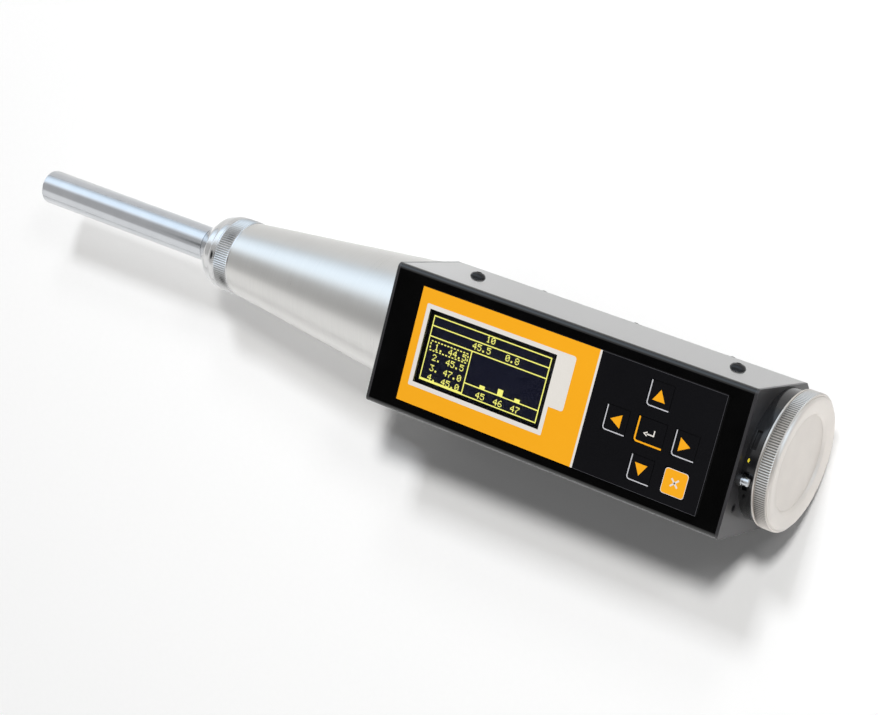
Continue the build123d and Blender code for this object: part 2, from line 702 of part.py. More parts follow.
def flank_plane(side):
    """Plane on a slanted flank at the back screws, its normal out of the housing."""
    along = (flank_length - BACK_SCREW_DROP) / flank_length
    y = BACK_FLAT / 2 + along * (HALF_WIDTH - BACK_FLAT / 2)
    z = along * FLANK_HEIGHT
    normal = (0, side * math.sin(math.radians(flank_angle)), -math.cos(math.radians(flank_angle)))
    return Plane(origin=(0, side * y, z), x_dir=(1, 0, 0), z_dir=normal)


with BuildPart() as back_cover:
    with BuildSketch(box_section(-BOX_LENGTH / 2)) as tray:
        with BuildLine():
            Polyline(*housing_outline(top=COVER_EDGE_Z), close=True)
        make_face()
        with BuildLine():
            Polyline(*housing_outline(inset=SHEET, top=COVER_EDGE_Z), close=True)
        make_face(mode=Mode.SUBTRACT)
    extrude(tray.sketch, amount=BOX_LENGTH)
    for side in (1, -1):
        with BuildSketch(flank_plane(side)) as back_holes:
            with Locations(*[(x, 0) for x in back_screw_places]):
                Circle(BACK_SCREW_R)
        extrude(back_holes.sketch, amount=-2 * SHEET, mode=Mode.SUBTRACT)
back_cover.part.label = "back_cover"
export_step(back_cover.part, "parts/back_cover.step")

# Nut rails inside the flanks, tapped for the back screws
with BuildPart() as nut_rails:
    for side in (1, -1):
        with BuildSketch(flank_plane(side).offset(-SHEET - RAIL)) as rail:
            with Locations((BACK_SCREW_X, 0)):
                Rectangle(2 * BACK_SCREW_PITCH + 2 * RAIL_WIDTH, RAIL_WIDTH)
        extrude(rail.sketch, amount=RAIL)
nut_rails.part.label = "nut_rails"
export_step(nut_rails.part, "parts/nut_rails.step")

# Back screws: low domed heads on the flanks
with BuildPart() as back_screws:
    for side in (1, -1):
        plane = flank_plane(side)
        with BuildSketch(plane.offset(-SHEET)) as shanks:
            with Locations(*[(x, 0) for x in back_screw_places]):
                Circle(BACK_SCREW_R)
        extrude(shanks.sketch, amount=SHEET)
        with BuildSketch(plane) as heads:
            with Locations(*[(x, 0) for x in back_screw_places]):
                Circle(BACK_SCREW_HEAD_R)
        extrude(heads.sketch, amount=BACK_SCREW_HEAD, taper=20)
back_screws.part.label = "back_screws"
export_step(back_screws.part, "parts/back_screws.step")


# End plates: the front one is gripped by the front casing, the rear one carries the button
def end_plate_blank(x, hole_r):
    """Plate with the housing's outline and a round hole for the hammer."""
    with BuildSketch(box_section(x)) as plate:
        with BuildLine():
            Polyline(*housing_outline(), close=True)
        make_face()
        fillet(plate.vertices().group_by(Axis.Y)[-1], COVER_BEND)
        with Locations((AXIS_SIDE, AXIS_HEIGHT)):
            Circle(hole_r, mode=Mode.SUBTRACT)
    extrude(plate.sketch, amount=PLATE)


with BuildPart() as front_plate:
    end_plate_blank(FRONT, TUBE_R + TOUCH)
front_plate.part.label = "front_plate"
export_step(front_plate.part, "parts/front_plate.step")

bush_r = BUTTON_R + BUTTON_WALL
with BuildPart() as rear_plate:
    end_plate_blank(REAR - PLATE, COLLAR_R + TOUCH)
    with BuildSketch(box_section(REAR - PLATE)) as small_holes:
        with Locations((BUTTON_Y, BUTTON_Z)):
            Circle(BUTTON_R + RUNNING)
        with Locations((SOCKET_Y, SOCKET_Z)):
            Circle(SOCKET_R + SOCKET_WALL)
    extrude(small_holes.sketch, amount=PLATE, mode=Mode.SUBTRACT)
rear_plate.part.label = "rear_plate"
export_step(rear_plate.part, "parts/rear_plate.step")

# Saddles clamped round the body tube, tapped for the side screws
with BuildPart() as saddles:
    for x in (-SIDE_SCREW_X, SIDE_SCREW_X):
        with BuildSketch(box_section(x - SADDLE / 2)) as saddle:
            with BuildLine():
                Polyline(*housing_outline(inset=SHEET, top=AXIS_HEIGHT + TUBE_BORE), close=True)
            make_face()
            with Locations((AXIS_SIDE, AXIS_HEIGHT)):
                Circle(TUBE_R + TOUCH, mode=Mode.SUBTRACT)
        extrude(saddle.sketch, amount=SADDLE)
    with BuildSketch(Plane.XZ) as tapped_holes:
        with Locations(*side_screw_places):
            Circle(SCREW_R)
    extrude(tapped_holes.sketch, amount=HALF_WIDTH, both=True, mode=Mode.SUBTRACT)
saddles.part.label = "saddles"
export_step(saddles.part, "parts/saddles.step")

# Side screws: black domed heads, two on each side
with BuildPart() as side_screws:
    for side in (1, -1):
        outward = Plane(origin=(0, side * HALF_WIDTH, side_screw_z), x_dir=(1, 0, 0), z_dir=(0, side, 0))
        with BuildSketch(outward.offset(-SHEET - SIDE_SCREW_GRIP)) as shanks:
            with Locations((-SIDE_SCREW_X, 0), (SIDE_SCREW_X, 0)):
                Circle(SCREW_R)
        extrude(shanks.sketch, amount=SHEET + SIDE_SCREW_GRIP)
        with BuildSketch(outward) as heads:
            with Locations((-SIDE_SCREW_X, 0), (SIDE_SCREW_X, 0)):
                Circle(SIDE_SCREW_HEAD_R)
        extrude(heads.sketch, amount=SIDE_SCREW_HEAD, taper=24)
side_screws.part.label = "side_screws"
export_step(side_screws.part, "parts/side_screws.step")

# Display, keypad and electronics

label_top = FACE_Z + LABEL_THICKNESS
board_under = AXIS_HEIGHT + TUBE_R + SENSOR_GAP + SENSOR
board_top = board_under + BOARD

# Keypad membrane with a window and an opening for each key
with BuildPart() as keypad_membrane:
    with BuildSketch(Plane.XY.offset(FACE_Z)) as membrane:
        with Locations((LABEL_SHIFT, 0)):
            RectangleRounded(LABEL_LENGTH, LABEL_WIDTH, 1.0)
        with Locations((WINDOW_X, WINDOW_Y)):
            RectangleRounded(WINDOW_LENGTH, WINDOW_WIDTH, CORNER, mode=Mode.SUBTRACT)
        for x, y, length in key_places.values():
            with Locations((x, y)):
                Rectangle(length + 2 * KEY_GAP, KEY + 2 * KEY_GAP, mode=Mode.SUBTRACT)
    extrude(membrane.sketch, amount=LABEL_THICKNESS)
keypad_membrane.part.label = "keypad_membrane"
export_step(keypad_membrane.part, "parts/keypad_membrane.step")

# Keys: thin caps level with the membrane, each with a stem down to its switch
switch_top = label_top - KEY_THICKNESS - STEM - CLEAR
for name, (x, y, length) in key_places.items():
    with BuildPart() as key:
        with BuildSketch(Plane.XY.offset(label_top - KEY_THICKNESS)) as key_cap:
            with Locations((x, y)):
                Rectangle(length, KEY)
        extrude(key_cap.sketch, amount=KEY_THICKNESS)
        with BuildSketch(Plane.XY.offset(switch_top + CLEAR)) as stem:
            with Locations((x, y)):
                Circle(STEM_R)
        extrude(stem.sketch, amount=label_top - KEY_THICKNESS - switch_top - CLEAR)
    key.part.label = name
    export_step(key.part, f"parts/{name}.step")

# Tact switches under the keys
with BuildPart() as key_switches:
    with BuildSketch(Plane.XY.offset(board_top)) as switch_bodies:
        with Locations(*key_centres):
            Rectangle(SWITCH, SWITCH)
    extrude(switch_bodies.sketch, amount=switch_top - SWITCH_TRAVEL - board_top)
    with BuildSketch(Plane.XY.offset(switch_top - SWITCH_TRAVEL)) as switch_buttons:
        with Locations(*key_centres):
            Rectangle(SWITCH_BUTTON, SWITCH_BUTTON)
    extrude(switch_buttons.sketch, amount=SWITCH_TRAVEL)
key_switches.part.label = "key_switches"
export_step(key_switches.part, "parts/key_switches.step")

# Clear window in the cover, under the membrane's opening
with BuildPart() as display_window:
    with BuildSketch(Plane.XY.offset(sheet_under)) as window:
        with Locations((WINDOW_X, WINDOW_Y)):
            RectangleRounded(window_hole_length - 0.2, window_hole_width - 0.2, CORNER - 0.1)
    extrude(window.sketch, amount=SHEET)
display_window.part.label = "display_window"
export_step(display_window.part, "parts/display_window.step")

# Display module behind the window
with BuildPart() as display_module:
    with BuildSketch(Plane.XY.offset(board_top)) as module:
        with Locations((WINDOW_X, WINDOW_Y)):
            Rectangle(window_hole_length + 1.2, window_hole_width + 5.2)
    extrude(module.sketch, amount=DISPLAY_THICKNESS)
    chamfer(display_module.faces().sort_by(Axis.Z)[-1].edges(), 0.4)
display_module.part.label = "display_module"
export_step(display_module.part, "parts/display_module.step")

# Main board, hung from the cover on six standoffs
standoff_x = BOARD_LENGTH / 2 - STANDOFF_INSET
standoff_y = BOARD_WIDTH / 2 - STANDOFF_INSET
standoff_rows = (BOARD_SHIFT - standoff_x, WINDOW_X + WINDOW_LENGTH - 15.3, BOARD_SHIFT + standoff_x)
standoff_places = [(x, y) for x in standoff_rows for y in (-standoff_y, standoff_y)]
with BuildPart() as main_board:
    with BuildSketch(Plane.XY.offset(board_under)) as board:
        with Locations((BOARD_SHIFT, 0)):
            RectangleRounded(BOARD_LENGTH, BOARD_WIDTH, CORNER)
    extrude(board.sketch, amount=BOARD)
main_board.part.label = "main_board"
export_step(main_board.part, "parts/main_board.step")

with BuildPart() as board_standoffs:
    with BuildSketch(Plane.XY.offset(board_top)) as standoff_section:
        with Locations(*standoff_places):
            RegularPolygon(STANDOFF_R, 6)
    extrude(standoff_section.sketch, amount=sheet_under - board_top)
board_standoffs.part.label = "board_standoffs"
export_step(board_standoffs.part, "parts/board_standoffs.step")

# Position sensor strip under the board, read by the rider's flag
with BuildPart() as sensor_strip:
    with BuildSketch(Plane.XY.offset(board_under - SENSOR)) as strip:
        with Locations(((slot_front + slot_rear) / 2, AXIS_SIDE)):
            Rectangle(slot_rear - slot_front, SENSOR_WIDTH)
    extrude(strip.sketch, amount=SENSOR)
sensor_strip.part.label = "sensor_strip"
export_step(sensor_strip.part, "parts/sensor_strip.step")

# Battery in a clip on the housing's wide side
battery_y = AXIS_SIDE - TUBE_R - CLEAR - BATTERY_THICKNESS / 2
battery_z = FLANK_HEIGHT + 3.0 + BATTERY_HEIGHT / 2
clip_inner = battery_y - BATTERY_THICKNESS / 2
with BuildPart() as battery:
    with BuildSketch(Plane.XY.offset(battery_z - BATTERY_HEIGHT / 2)) as pack:
        with Locations((0, battery_y)):
            RectangleRounded(BATTERY_LENGTH, BATTERY_THICKNESS, CORNER)
    extrude(pack.sketch, amount=BATTERY_HEIGHT)
battery.part.label = "battery"
export_step(battery.part, "parts/battery.step")

with BuildPart() as battery_clip:
    with BuildSketch(Plane.XY.offset(COVER_EDGE_Z + CLEAR)) as clip:
        with Locations((0, (clip_inner - INNER_HALF) / 2)):
            Rectangle(BATTERY_LENGTH + 2 * CLIP_WALL, clip_inner + INNER_HALF)
        clip_arm = (BATTERY_LENGTH + CLIP_WALL) / 2
        with Locations((clip_arm, battery_y - 1.0), (-clip_arm, battery_y - 1.0)):
            Rectangle(CLIP_WALL, BATTERY_THICKNESS - 1.0)
    extrude(clip.sketch, amount=BATTERY_HEIGHT * 0.6)
battery_clip.part.label = "battery_clip"
export_step(battery_clip.part, "parts/battery_clip.step")

# Power button on the rear plate: black bush, steel push pin and the switch behind it
with BuildPart() as button_bush:
    with BuildSketch(box_section(REAR)) as bush:
        with Locations((BUTTON_Y, BUTTON_Z)):
            Circle(bush_r)
            Circle(BUTTON_R + RUNNING, mode=Mode.SUBTRACT)
    extrude(bush.sketch, amount=BUSH_REACH)
button_bush.part.label = "button_bush"
export_step(button_bush.part, "parts/button_bush.step")

switch_rear = REAR - PLATE
pin_step = switch_rear + BUTTON_TRAVEL + CLEAR
with BuildPart() as power_button:
    with BuildSketch(box_section(pin_step)) as pin_head:
        with Locations((BUTTON_Y, BUTTON_Z)):
            Circle(BUTTON_R)
    extrude(pin_head.sketch, amount=REAR + BUTTON_REACH - pin_step)
    chamfer(power_button.edges().group_by(Axis.X)[-1], 0.3)
    with BuildSketch(box_section(pin_step - BUTTON_STEM)) as pin_stem:
        with Locations((BUTTON_Y, BUTTON_Z)):
            Circle(BUTTON_STEM_R)
    extrude(pin_stem.sketch, amount=BUTTON_STEM)
power_button.part.label = "power_button"
export_step(power_button.part, "parts/power_button.step")

with BuildPart() as power_switch:
    with BuildSketch(box_section(switch_rear - SWITCH_CASE)) as switch_case:
        with Locations((BUTTON_Y, BUTTON_Z)):
            Circle(SWITCH_CASE_R)
    extrude(switch_case.sketch, amount=SWITCH_CASE)
    with BuildSketch(box_section(pin_step - BUTTON_STEM - BUTTON_TRAVEL - CLEAR)) as switch_bore:
        with Locations((BUTTON_Y, BUTTON_Z)):
            Circle(BUTTON_STEM_R + RUNNING)
    extrude(switch_bore.sketch, amount=SWITCH_CASE, mode=Mode.SUBTRACT)
power_switch.part.label = "power_switch"
export_step(power_switch.part, "parts/power_switch.step")

# Charging socket flush in the rear plate
with BuildPart() as charge_socket:
    with BuildSketch(box_section(REAR - SOCKET_LENGTH)) as socket:
        with Locations((SOCKET_Y, SOCKET_Z)):
            Circle(SOCKET_R + SOCKET_WALL)
    extrude(socket.sketch, amount=SOCKET_LENGTH)
    with BuildSketch(box_section(REAR - SOCKET_DEPTH)) as socket_bore:
        with Locations((SOCKET_Y, SOCKET_Z)):
            Circle(SOCKET_R)
    extrude(socket_bore.sketch, amount=SOCKET_DEPTH, mode=Mode.SUBTRACT)
charge_socket.part.label = "charge_socket"
export_step(charge_socket.part, "parts/charge_socket.step")
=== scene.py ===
import math
import bmesh
import bpy
from mathutils import Matrix, Vector


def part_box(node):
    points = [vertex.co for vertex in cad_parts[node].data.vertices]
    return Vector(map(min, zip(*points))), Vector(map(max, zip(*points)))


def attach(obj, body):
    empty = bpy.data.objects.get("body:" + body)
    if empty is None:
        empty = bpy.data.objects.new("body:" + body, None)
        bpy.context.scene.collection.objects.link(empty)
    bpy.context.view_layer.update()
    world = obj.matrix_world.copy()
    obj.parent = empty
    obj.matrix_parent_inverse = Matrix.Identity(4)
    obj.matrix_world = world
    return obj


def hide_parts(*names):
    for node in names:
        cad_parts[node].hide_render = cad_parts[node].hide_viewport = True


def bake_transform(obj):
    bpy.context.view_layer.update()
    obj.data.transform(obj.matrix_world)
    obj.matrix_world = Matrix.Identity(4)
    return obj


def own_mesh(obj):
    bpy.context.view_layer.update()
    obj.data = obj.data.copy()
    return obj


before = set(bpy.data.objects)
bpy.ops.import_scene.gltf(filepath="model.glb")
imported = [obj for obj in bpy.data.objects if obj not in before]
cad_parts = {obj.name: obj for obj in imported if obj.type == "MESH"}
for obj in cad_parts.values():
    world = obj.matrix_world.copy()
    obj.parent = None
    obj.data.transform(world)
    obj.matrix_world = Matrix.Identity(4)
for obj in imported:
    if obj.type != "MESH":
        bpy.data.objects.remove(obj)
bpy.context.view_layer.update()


# Front casing: the long cone ahead of the housing, turned from aluminium bar and
# anodised to an even satin. A threaded spigot at its small end takes the nose cap,
# and its rear face is screwed up against the housing's front plate.
MM = 0.001


class Wire:
    """An output of a shader node, which takes sums and leads into further nodes."""

    def __init__(self, socket):
        self.socket = socket

    def node(self, kind, inputs, output=0, **settings):
        """Add a node of this kind, with wires or plain values in its inputs."""
        tree = self.socket.id_data
        made = tree.nodes.new(kind)
        for name, value in settings.items():
            setattr(made, name, value)
        for name, value in inputs.items():
            if isinstance(value, Wire):
                tree.links.new(value.socket, made.inputs[name])
            else:
                made.inputs[name].default_value = value
        return Wire(made.outputs[output]) if made.outputs else None

    def sum(self, operation, *values):
        return self.node("ShaderNodeMath", dict(enumerate(values)), operation=operation)

    def __add__(self, other):
        return self.sum("ADD", self, other)

    def __radd__(self, other):
        return self.sum("ADD", other, self)

    def __sub__(self, other):
        return self.sum("SUBTRACT", self, other)

    def __rsub__(self, other):
        return self.sum("SUBTRACT", other, self)

    def __mul__(self, other):
        return self.sum("MULTIPLY", self, other)

    def __rmul__(self, other):
        return self.sum("MULTIPLY", other, self)

    def __truediv__(self, other):
        return self.sum("DIVIDE", self, other)

    def __lt__(self, other):
        return self.sum("LESS_THAN", self, other)

    def __gt__(self, other):
        return self.sum("GREATER_THAN", self, other)


def tint(red, green, blue):
    """Linear colour of three 8-bit values."""
    shares = [value / 255 for value in (red, green, blue)]
    return [s / 12.92 if s <= 0.04045 else ((s + 0.055) / 1.055) ** 2.4 for s in shares] + [1.0]


def finish(name, shade):
    """New material, drawn by a function of its object coordinates."""
    made = bpy.data.materials.new(name)
    made.use_nodes = True
    made.node_tree.nodes.clear()
    place = Wire(made.node_tree.nodes.new("ShaderNodeTexCoord").outputs["Object"])
    place.node("ShaderNodeOutputMaterial", {"Surface": shade(place)})
    return made


def grain(place, size, detail=4.0, stretch=(1, 1, 1)):
    """Noise with features of this size in millimetres, drawn out along some axes."""
    scaled = place.node("ShaderNodeMapping", {"Vector": place, "Scale": stretch})
    return scaled.node("ShaderNodeTexNoise", {"Vector": scaled, "Scale": 1 / (size * MM), "Detail": detail})


def blend_tints(share, first, second):
    """Colour between two tints by a share from 0 to 1."""
    return share.node("ShaderNodeMixRGB", {"Fac": share, "Color1": first, "Color2": second})


def turned_metal(place, dark, light, rough, marks, depth):
    """Metal from a lathe: fine rings square to X, with a soft cloudy sheen."""
    rings = grain(place, marks, detail=3.0, stretch=(1, 0.02, 0.02))
    clouds = grain(place, 14.0)
    bump = rings.node("ShaderNodeBump", {"Height": rings, "Strength": depth, "Distance": 0.02 * MM})
    return place.node("ShaderNodeBsdfPrincipled", {
        "Base Color": blend_tints(rings * 0.6 + clouds * 0.4, dark, light),
        "Metallic": 1.0,
        "Roughness": rough + (rings - 0.5) * 0.1 + (clouds - 0.5) * 0.06,
        "Normal": bump})


def satin_aluminium(place):
    return turned_metal(place, tint(202, 201, 199), tint(221, 220, 217), 0.30, 0.35, 0.12)


def extent(node):
    """Lowest and highest corner of a node, in millimetres."""
    low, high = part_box(node)
    return Vector(low) / MM, Vector(high) / MM


plunger_low, plunger_high = extent("impact_plunger")
axis_y = (plunger_low.y + plunger_high.y) / 2
axis_z = (plunger_low.z + plunger_high.z) / 2
axis_place = Vector((0, axis_y, axis_z))


def spun(outline, steps=240, centre=axis_place, closed=True):
    """Solid turned about the X direction from (station, radius) corners in millimetres."""
    shape = bmesh.new()
    corners = [shape.verts.new((x, 0, r)) for x, r in outline]
    pairs = list(zip(corners, corners[1:]))
    if closed:
        pairs.append((corners[-1], corners[0]))
    edges = [shape.edges.new(pair) for pair in pairs]
    bmesh.ops.spin(shape, geom=corners + edges, cent=(0, 0, 0), axis=(1, 0, 0), angle=math.tau,
                   steps=steps, use_merge=True)
    bmesh.ops.remove_doubles(shape, verts=shape.verts, dist=0.0005)
    bmesh.ops.recalc_face_normals(shape, faces=shape.faces)
    bmesh.ops.translate(shape, vec=centre, verts=shape.verts)
    return shape


def piece(name, shape, material, body, rounding=0.0, sharp=35.0):
    """Object made of a shape in millimetres, smooth but for its edges, riding on a body if named."""
    bmesh.ops.scale(shape, vec=(MM, MM, MM), verts=shape.verts)
    mesh = bpy.data.meshes.new(name)
    shape.to_mesh(mesh)
    shape.free()
    mesh.shade_smooth()
    mesh.set_sharp_from_angle(angle=math.radians(sharp))
    mesh.materials.append(material)
    made = bpy.data.objects.new(name, mesh)
    bpy.context.collection.objects.link(made)
    if rounding:
        edge = made.modifiers.new("rounding", "BEVEL")
        edge.width = rounding * MM
        edge.segments = 3
        edge.limit_method = "ANGLE"
        edge.angle_limit = math.radians(sharp)
        edge.harden_normals = True
    if body:
        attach(made, body)
    return made


casing_low, casing_high = extent("front_casing")
nose_low, nose_high = extent("nose_cap")
tube_low, tube_high = extent("body_tube")
mass_low, mass_high = extent("hammer_mass")
sleeve_low, sleeve_high = extent("guide_sleeve")
seam = nose_high.x
nose_r = (nose_high.z - nose_low.z) / 2
REAR_TRIM = 1.0
casing_r = (casing_high.z - casing_low.z) / 2 - REAR_TRIM
tube_r = (tube_high.y - tube_low.y) / 2
mass_r = (mass_high.z - mass_low.z) / 2
sleeve_r = (sleeve_high.z - sleeve_low.z) / 2
spigot_r = nose_r - 1.9
front_casing_finish = finish("satin_aluminium", satin_aluminium)
front_casing = piece("front_casing_cone", spun([
    (casing_high.x, tube_r),
    (casing_high.x, casing_r),
    (seam + 1.0, nose_r - 0.25),
    (seam, nose_r - 0.45),
    (seam, spigot_r),
    (casing_low.x, spigot_r),
    (casing_low.x, sleeve_r + 0.05),
    (sleeve_high.x - 2.0, sleeve_r + 0.05),
    (sleeve_high.x - 2.0, mass_r + 0.5),
    (tube_low.x, mass_r + 0.5),
    (tube_low.x, tube_r)]), front_casing_finish, "housing", rounding=0.15)
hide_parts("front_casing")


# Nose cap: a conical aluminium ring screwed on the casing's spigot, with a low shoulder and a
# band of straight knurling for the fingers, its grooves painted grey as shade. It holds the felt wiper.
NOSE_TEETH = 102
KNURL_DEPTH = 0.45
KNURL_EDGE = 0.35
FELT_R = 12.5
FELT_LENGTH = 4.0
# Colour of the painted shade in the knurls' grooves.
GROOVE_SHADE_TINT = tint(66, 64, 60)


def knurled(outline, teeth, front, rear, radius, closed=True):
    """Spun solid whose corners between two stations become straight ridges."""
    shape = spun(outline, steps=2 * teeth, centre=(0, 0, 0), closed=closed)
    for vert in shape.verts:
        reach = math.hypot(vert.co.y, vert.co.z)
        turn = round(math.atan2(vert.co.y, vert.co.z) / math.pi * teeth)
        if front < vert.co.x < rear and reach > radius - 0.05 and turn % 2:
            shrink = (radius - KNURL_DEPTH) / reach
            vert.co = (vert.co.x, vert.co.y * shrink, vert.co.z * shrink)
    bmesh.ops.translate(shape, vec=axis_place, verts=shape.verts)
    return shape


def knurled_aluminium(place, band, crest, dark, light, rough, shade_share):
    """Turned aluminium with grey painted shade in the grooves of a knurl of this band and crest radius."""
    across = place.node("ShaderNodeVectorMath", {0: place, 1: axis_place * MM}, operation="SUBTRACT")
    across = across.node("ShaderNodeVectorMath", {0: across, 1: (0, 1 / MM, 1 / MM)}, operation="MULTIPLY")
    reach = across.node("ShaderNodeVectorMath", {0: across}, output="Value", operation="LENGTH")
    station = place.node("ShaderNodeSeparateXYZ", {"Vector": place}, output="X") * (1 / MM)
    inside = (station > band[0] + KNURL_EDGE) * (station < band[1] - KNURL_EDGE)
    depth = reach.node("ShaderNodeMapRange", {"Value": reach, "From Min": crest - KNURL_DEPTH,
                                              "From Max": crest - 0.06, "To Min": 1.0, "To Max": 0.0})
    # Grey painted into the knurl's grooves, darker towards their floor, stands in for their shade.
    groove_shade = inside * depth * (reach > crest - 2 * KNURL_DEPTH) * shade_share
    rings = station.node("ShaderNodeTexNoise", {"W": station + reach, "Scale": 3.0, "Detail": 3.0},
                         noise_dimensions="1D")
    clouds = grain(place, 9.0)
    bump = rings.node("ShaderNodeBump", {"Height": rings, "Strength": 0.10, "Distance": 0.02 * MM})
    metal = blend_tints(rings * 0.35 + clouds * 0.65, dark, light)
    return place.node("ShaderNodeBsdfPrincipled", {
        "Base Color": blend_tints(groove_shade, metal, GROOVE_SHADE_TINT),
        "Metallic": 1 - groove_shade * 0.4,
        "Roughness": rough + (clouds - 0.5) * 0.08 + (rings - 0.5) * 0.06 + inside * 0.12 + groove_shade * 0.2,
        "Normal": bump})


def arc(centre, radius, start, end, steps):
    """Points of an arc in (station, radius), with angles in degrees from the X direction."""
    turns = [math.radians(start + (end - start) * i / steps) for i in range(steps + 1)]
    return [(centre[0] + radius * math.cos(a), centre[1] + radius * math.sin(a)) for a in turns]


nose_band = (seam - 7.4, seam - 0.6)
nose_shoulder = seam - 10.2
shoulder_r = nose_r - KNURL_DEPTH


# The nose's knurl gets about half of the painted groove shade.
def nose_aluminium(place):
    return knurled_aluminium(place, nose_band, nose_r, tint(200, 200, 200), tint(221, 221, 221), 0.14, 0.55)


NOSE_INSET = 3.6
LIP_R = 16.3
MOUTH_R = 7.65
nose_mouth = nose_low.x + NOSE_INSET
nose_outline = [
    (nose_mouth, MOUTH_R),
    (nose_mouth, 7.95),
    (nose_mouth + 0.3, 8.45),
    (nose_mouth + 0.6, 8.73),
    (nose_mouth + 6.6, 14.2),
    (nose_mouth + 6.9, 14.45),
    (nose_mouth + 7.4, 14.8),
    (nose_mouth + 8.0, 15.05),
    (nose_mouth + 8.4, 15.15),
    (nose_shoulder - 0.7, 15.72),
    (nose_shoulder - 0.4, 15.8),
    (nose_shoulder, 16.15),
    (nose_shoulder + 0.5, LIP_R),
    (nose_shoulder + 1.2, LIP_R),
    (nose_band[0] - 0.6, 16.1),
    (nose_band[0] - 0.5, shoulder_r),
    (nose_band[0], shoulder_r),
    (nose_band[0] + KNURL_EDGE, nose_r),
    (nose_band[1] - KNURL_EDGE, nose_r),
    (nose_band[1], shoulder_r),
    (seam - 0.1, shoulder_r),
    (seam, shoulder_r - 0.1),
    (seam, spigot_r + 0.05),
    (casing_low.x, spigot_r + 0.05),
    (casing_low.x, FELT_R),
    (casing_low.x - FELT_LENGTH, FELT_R),
    (casing_low.x - FELT_LENGTH, MOUTH_R)]
nose_cap = piece("nose_ring", knurled(nose_outline, NOSE_TEETH, *nose_band, nose_r),
                 finish("nose_aluminium", nose_aluminium), "housing")
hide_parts("nose_cap")


# Inside the nose: a grey felt wiper, a steel ring sawn in two halves and a bronze sleeve.
# They drop in from the spigot's mouth and the screwed cap keeps them there.
def dress(material, *nodes):
    """Give CAD nodes a material."""
    for node in nodes:
        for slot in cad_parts[node].material_slots:
            slot.material = material


def grey_felt(place):
    fibres = grain(place, 0.4, detail=8.0)
    bump = fibres.node("ShaderNodeBump", {"Height": fibres, "Strength": 0.6, "Distance": 0.2 * MM})
    return place.node("ShaderNodeBsdfPrincipled", {
        "Base Color": blend_tints(fibres, tint(70, 70, 72), tint(120, 120, 122)),
        "Roughness": 0.9 + fibres * 0.05,
        "Sheen Weight": 0.4,
        "Normal": bump})


def turned_steel(place):
    return turned_metal(place, tint(150, 150, 154), tint(178, 178, 182), 0.30, 0.3, 0.15)


def sleeve_bronze(place):
    return turned_metal(place, tint(176, 130, 78), tint(205, 160, 104), 0.34, 0.3, 0.15)


steel_finish = finish("turned_steel", turned_steel)
dress(finish("grey_felt", grey_felt), "felt_seal")
dress(finish("sleeve_bronze", sleeve_bronze), "guide_sleeve")
dress(steel_finish, "split_ring")


# Body tube: thin aluminium tube from the casing to the collar, slotted on top for the rider.
# The two saddles inside the housing are clamped round it and take the side screws.
def turned_aluminium(place):
    return turned_metal(place, tint(184, 185, 190), tint(208, 209, 213), 0.38, 0.5, 0.2)


dress(finish("turned_aluminium", turned_aluminium), "body_tube", "saddles")


# Rear collar: steel ring behind the housing, enamelled in gloss black, with two spanner
# slots on its rim and a yellow index dot stamped between them.
def black_enamel(place):
    ripple = grain(place, 2.2, detail=2.0)
    dust = grain(place, 0.5, detail=6.0)
    bump = ripple.node("ShaderNodeBump", {"Height": ripple, "Strength": 0.15, "Distance": 0.05 * MM})
    return place.node("ShaderNodeBsdfPrincipled", {
        "Base Color": blend_tints(dust, tint(7, 7, 8), tint(24, 24, 26)),
        "Roughness": 0.12 + dust * 0.14,
        "Coat Weight": 0.3,
        "Coat Roughness": 0.08,
        "Normal": bump})


collar_low, collar_high = extent("rear_collar")
rear = extent("rear_plate")[1].x
cap_front = extent("end_cap")[0].x
collar_r = (collar_high.z - collar_low.z) / 2
bore_r = tube_r - 1.6
thread_r = collar_r - 2.0
collar_fit_r = 24.7
SLOT_STATIONS = (rear + 1.0, rear + 3.0)
SLOT_TURNS = (9.7, 25.9)
SLOT_DEPTH = 1.6
collar_shape = spun([
    (collar_low.x, tube_r + 0.05),
    (collar_low.x + 4.0, tube_r + 0.05),
    (collar_low.x + 4.0, bore_r),
    (collar_high.x, bore_r),
    (collar_high.x, thread_r),
    (cap_front - 0.3, thread_r),
    (cap_front - 0.3, collar_r - 0.3),
    (cap_front - 0.6, collar_r),
    (SLOT_STATIONS[1], collar_r),
    (SLOT_STATIONS[0], collar_r),
    (rear - 1.2, collar_r),
    (rear - 1.2, collar_fit_r),
    (collar_low.x, collar_fit_r)], steps=360)


def in_slot(face):
    """Whether a face of the collar's rim lies where a spanner slot is milled."""
    middle = face.calc_center_median() - axis_place
    turn = abs(math.degrees(math.atan2(middle.y, middle.z)))
    outside = math.hypot(middle.y, middle.z) > collar_r - 0.1
    return outside and SLOT_STATIONS[0] < middle.x < SLOT_STATIONS[1] and SLOT_TURNS[0] < turn < SLOT_TURNS[1]


slot_faces = [face for face in collar_shape.faces if in_slot(face)]
slot_floor = bmesh.ops.extrude_face_region(collar_shape, geom=slot_faces)["geom"]
bmesh.ops.delete(collar_shape, geom=slot_faces, context="FACES")
share = (collar_r - SLOT_DEPTH) / collar_r
bmesh.ops.scale(collar_shape, vec=(1, share, share), space=Matrix.Translation(-axis_place),
                verts=[item for item in slot_floor if isinstance(item, bmesh.types.BMVert)])
rear_collar = piece("rear_collar_ring", collar_shape, finish("black_enamel", black_enamel), "housing",
                    rounding=0.12)
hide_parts("rear_collar")


# Index mark: a small dash of yellow paint wiped into a punched dot on the collar.
def index_yellow(place):
    brushed = grain(place, 0.3)
    return place.node("ShaderNodeBsdfPrincipled", {
        "Base Color": blend_tints(brushed, tint(190, 170, 40), tint(236, 214, 60)),
        "Roughness": 0.4 + brushed * 0.15})


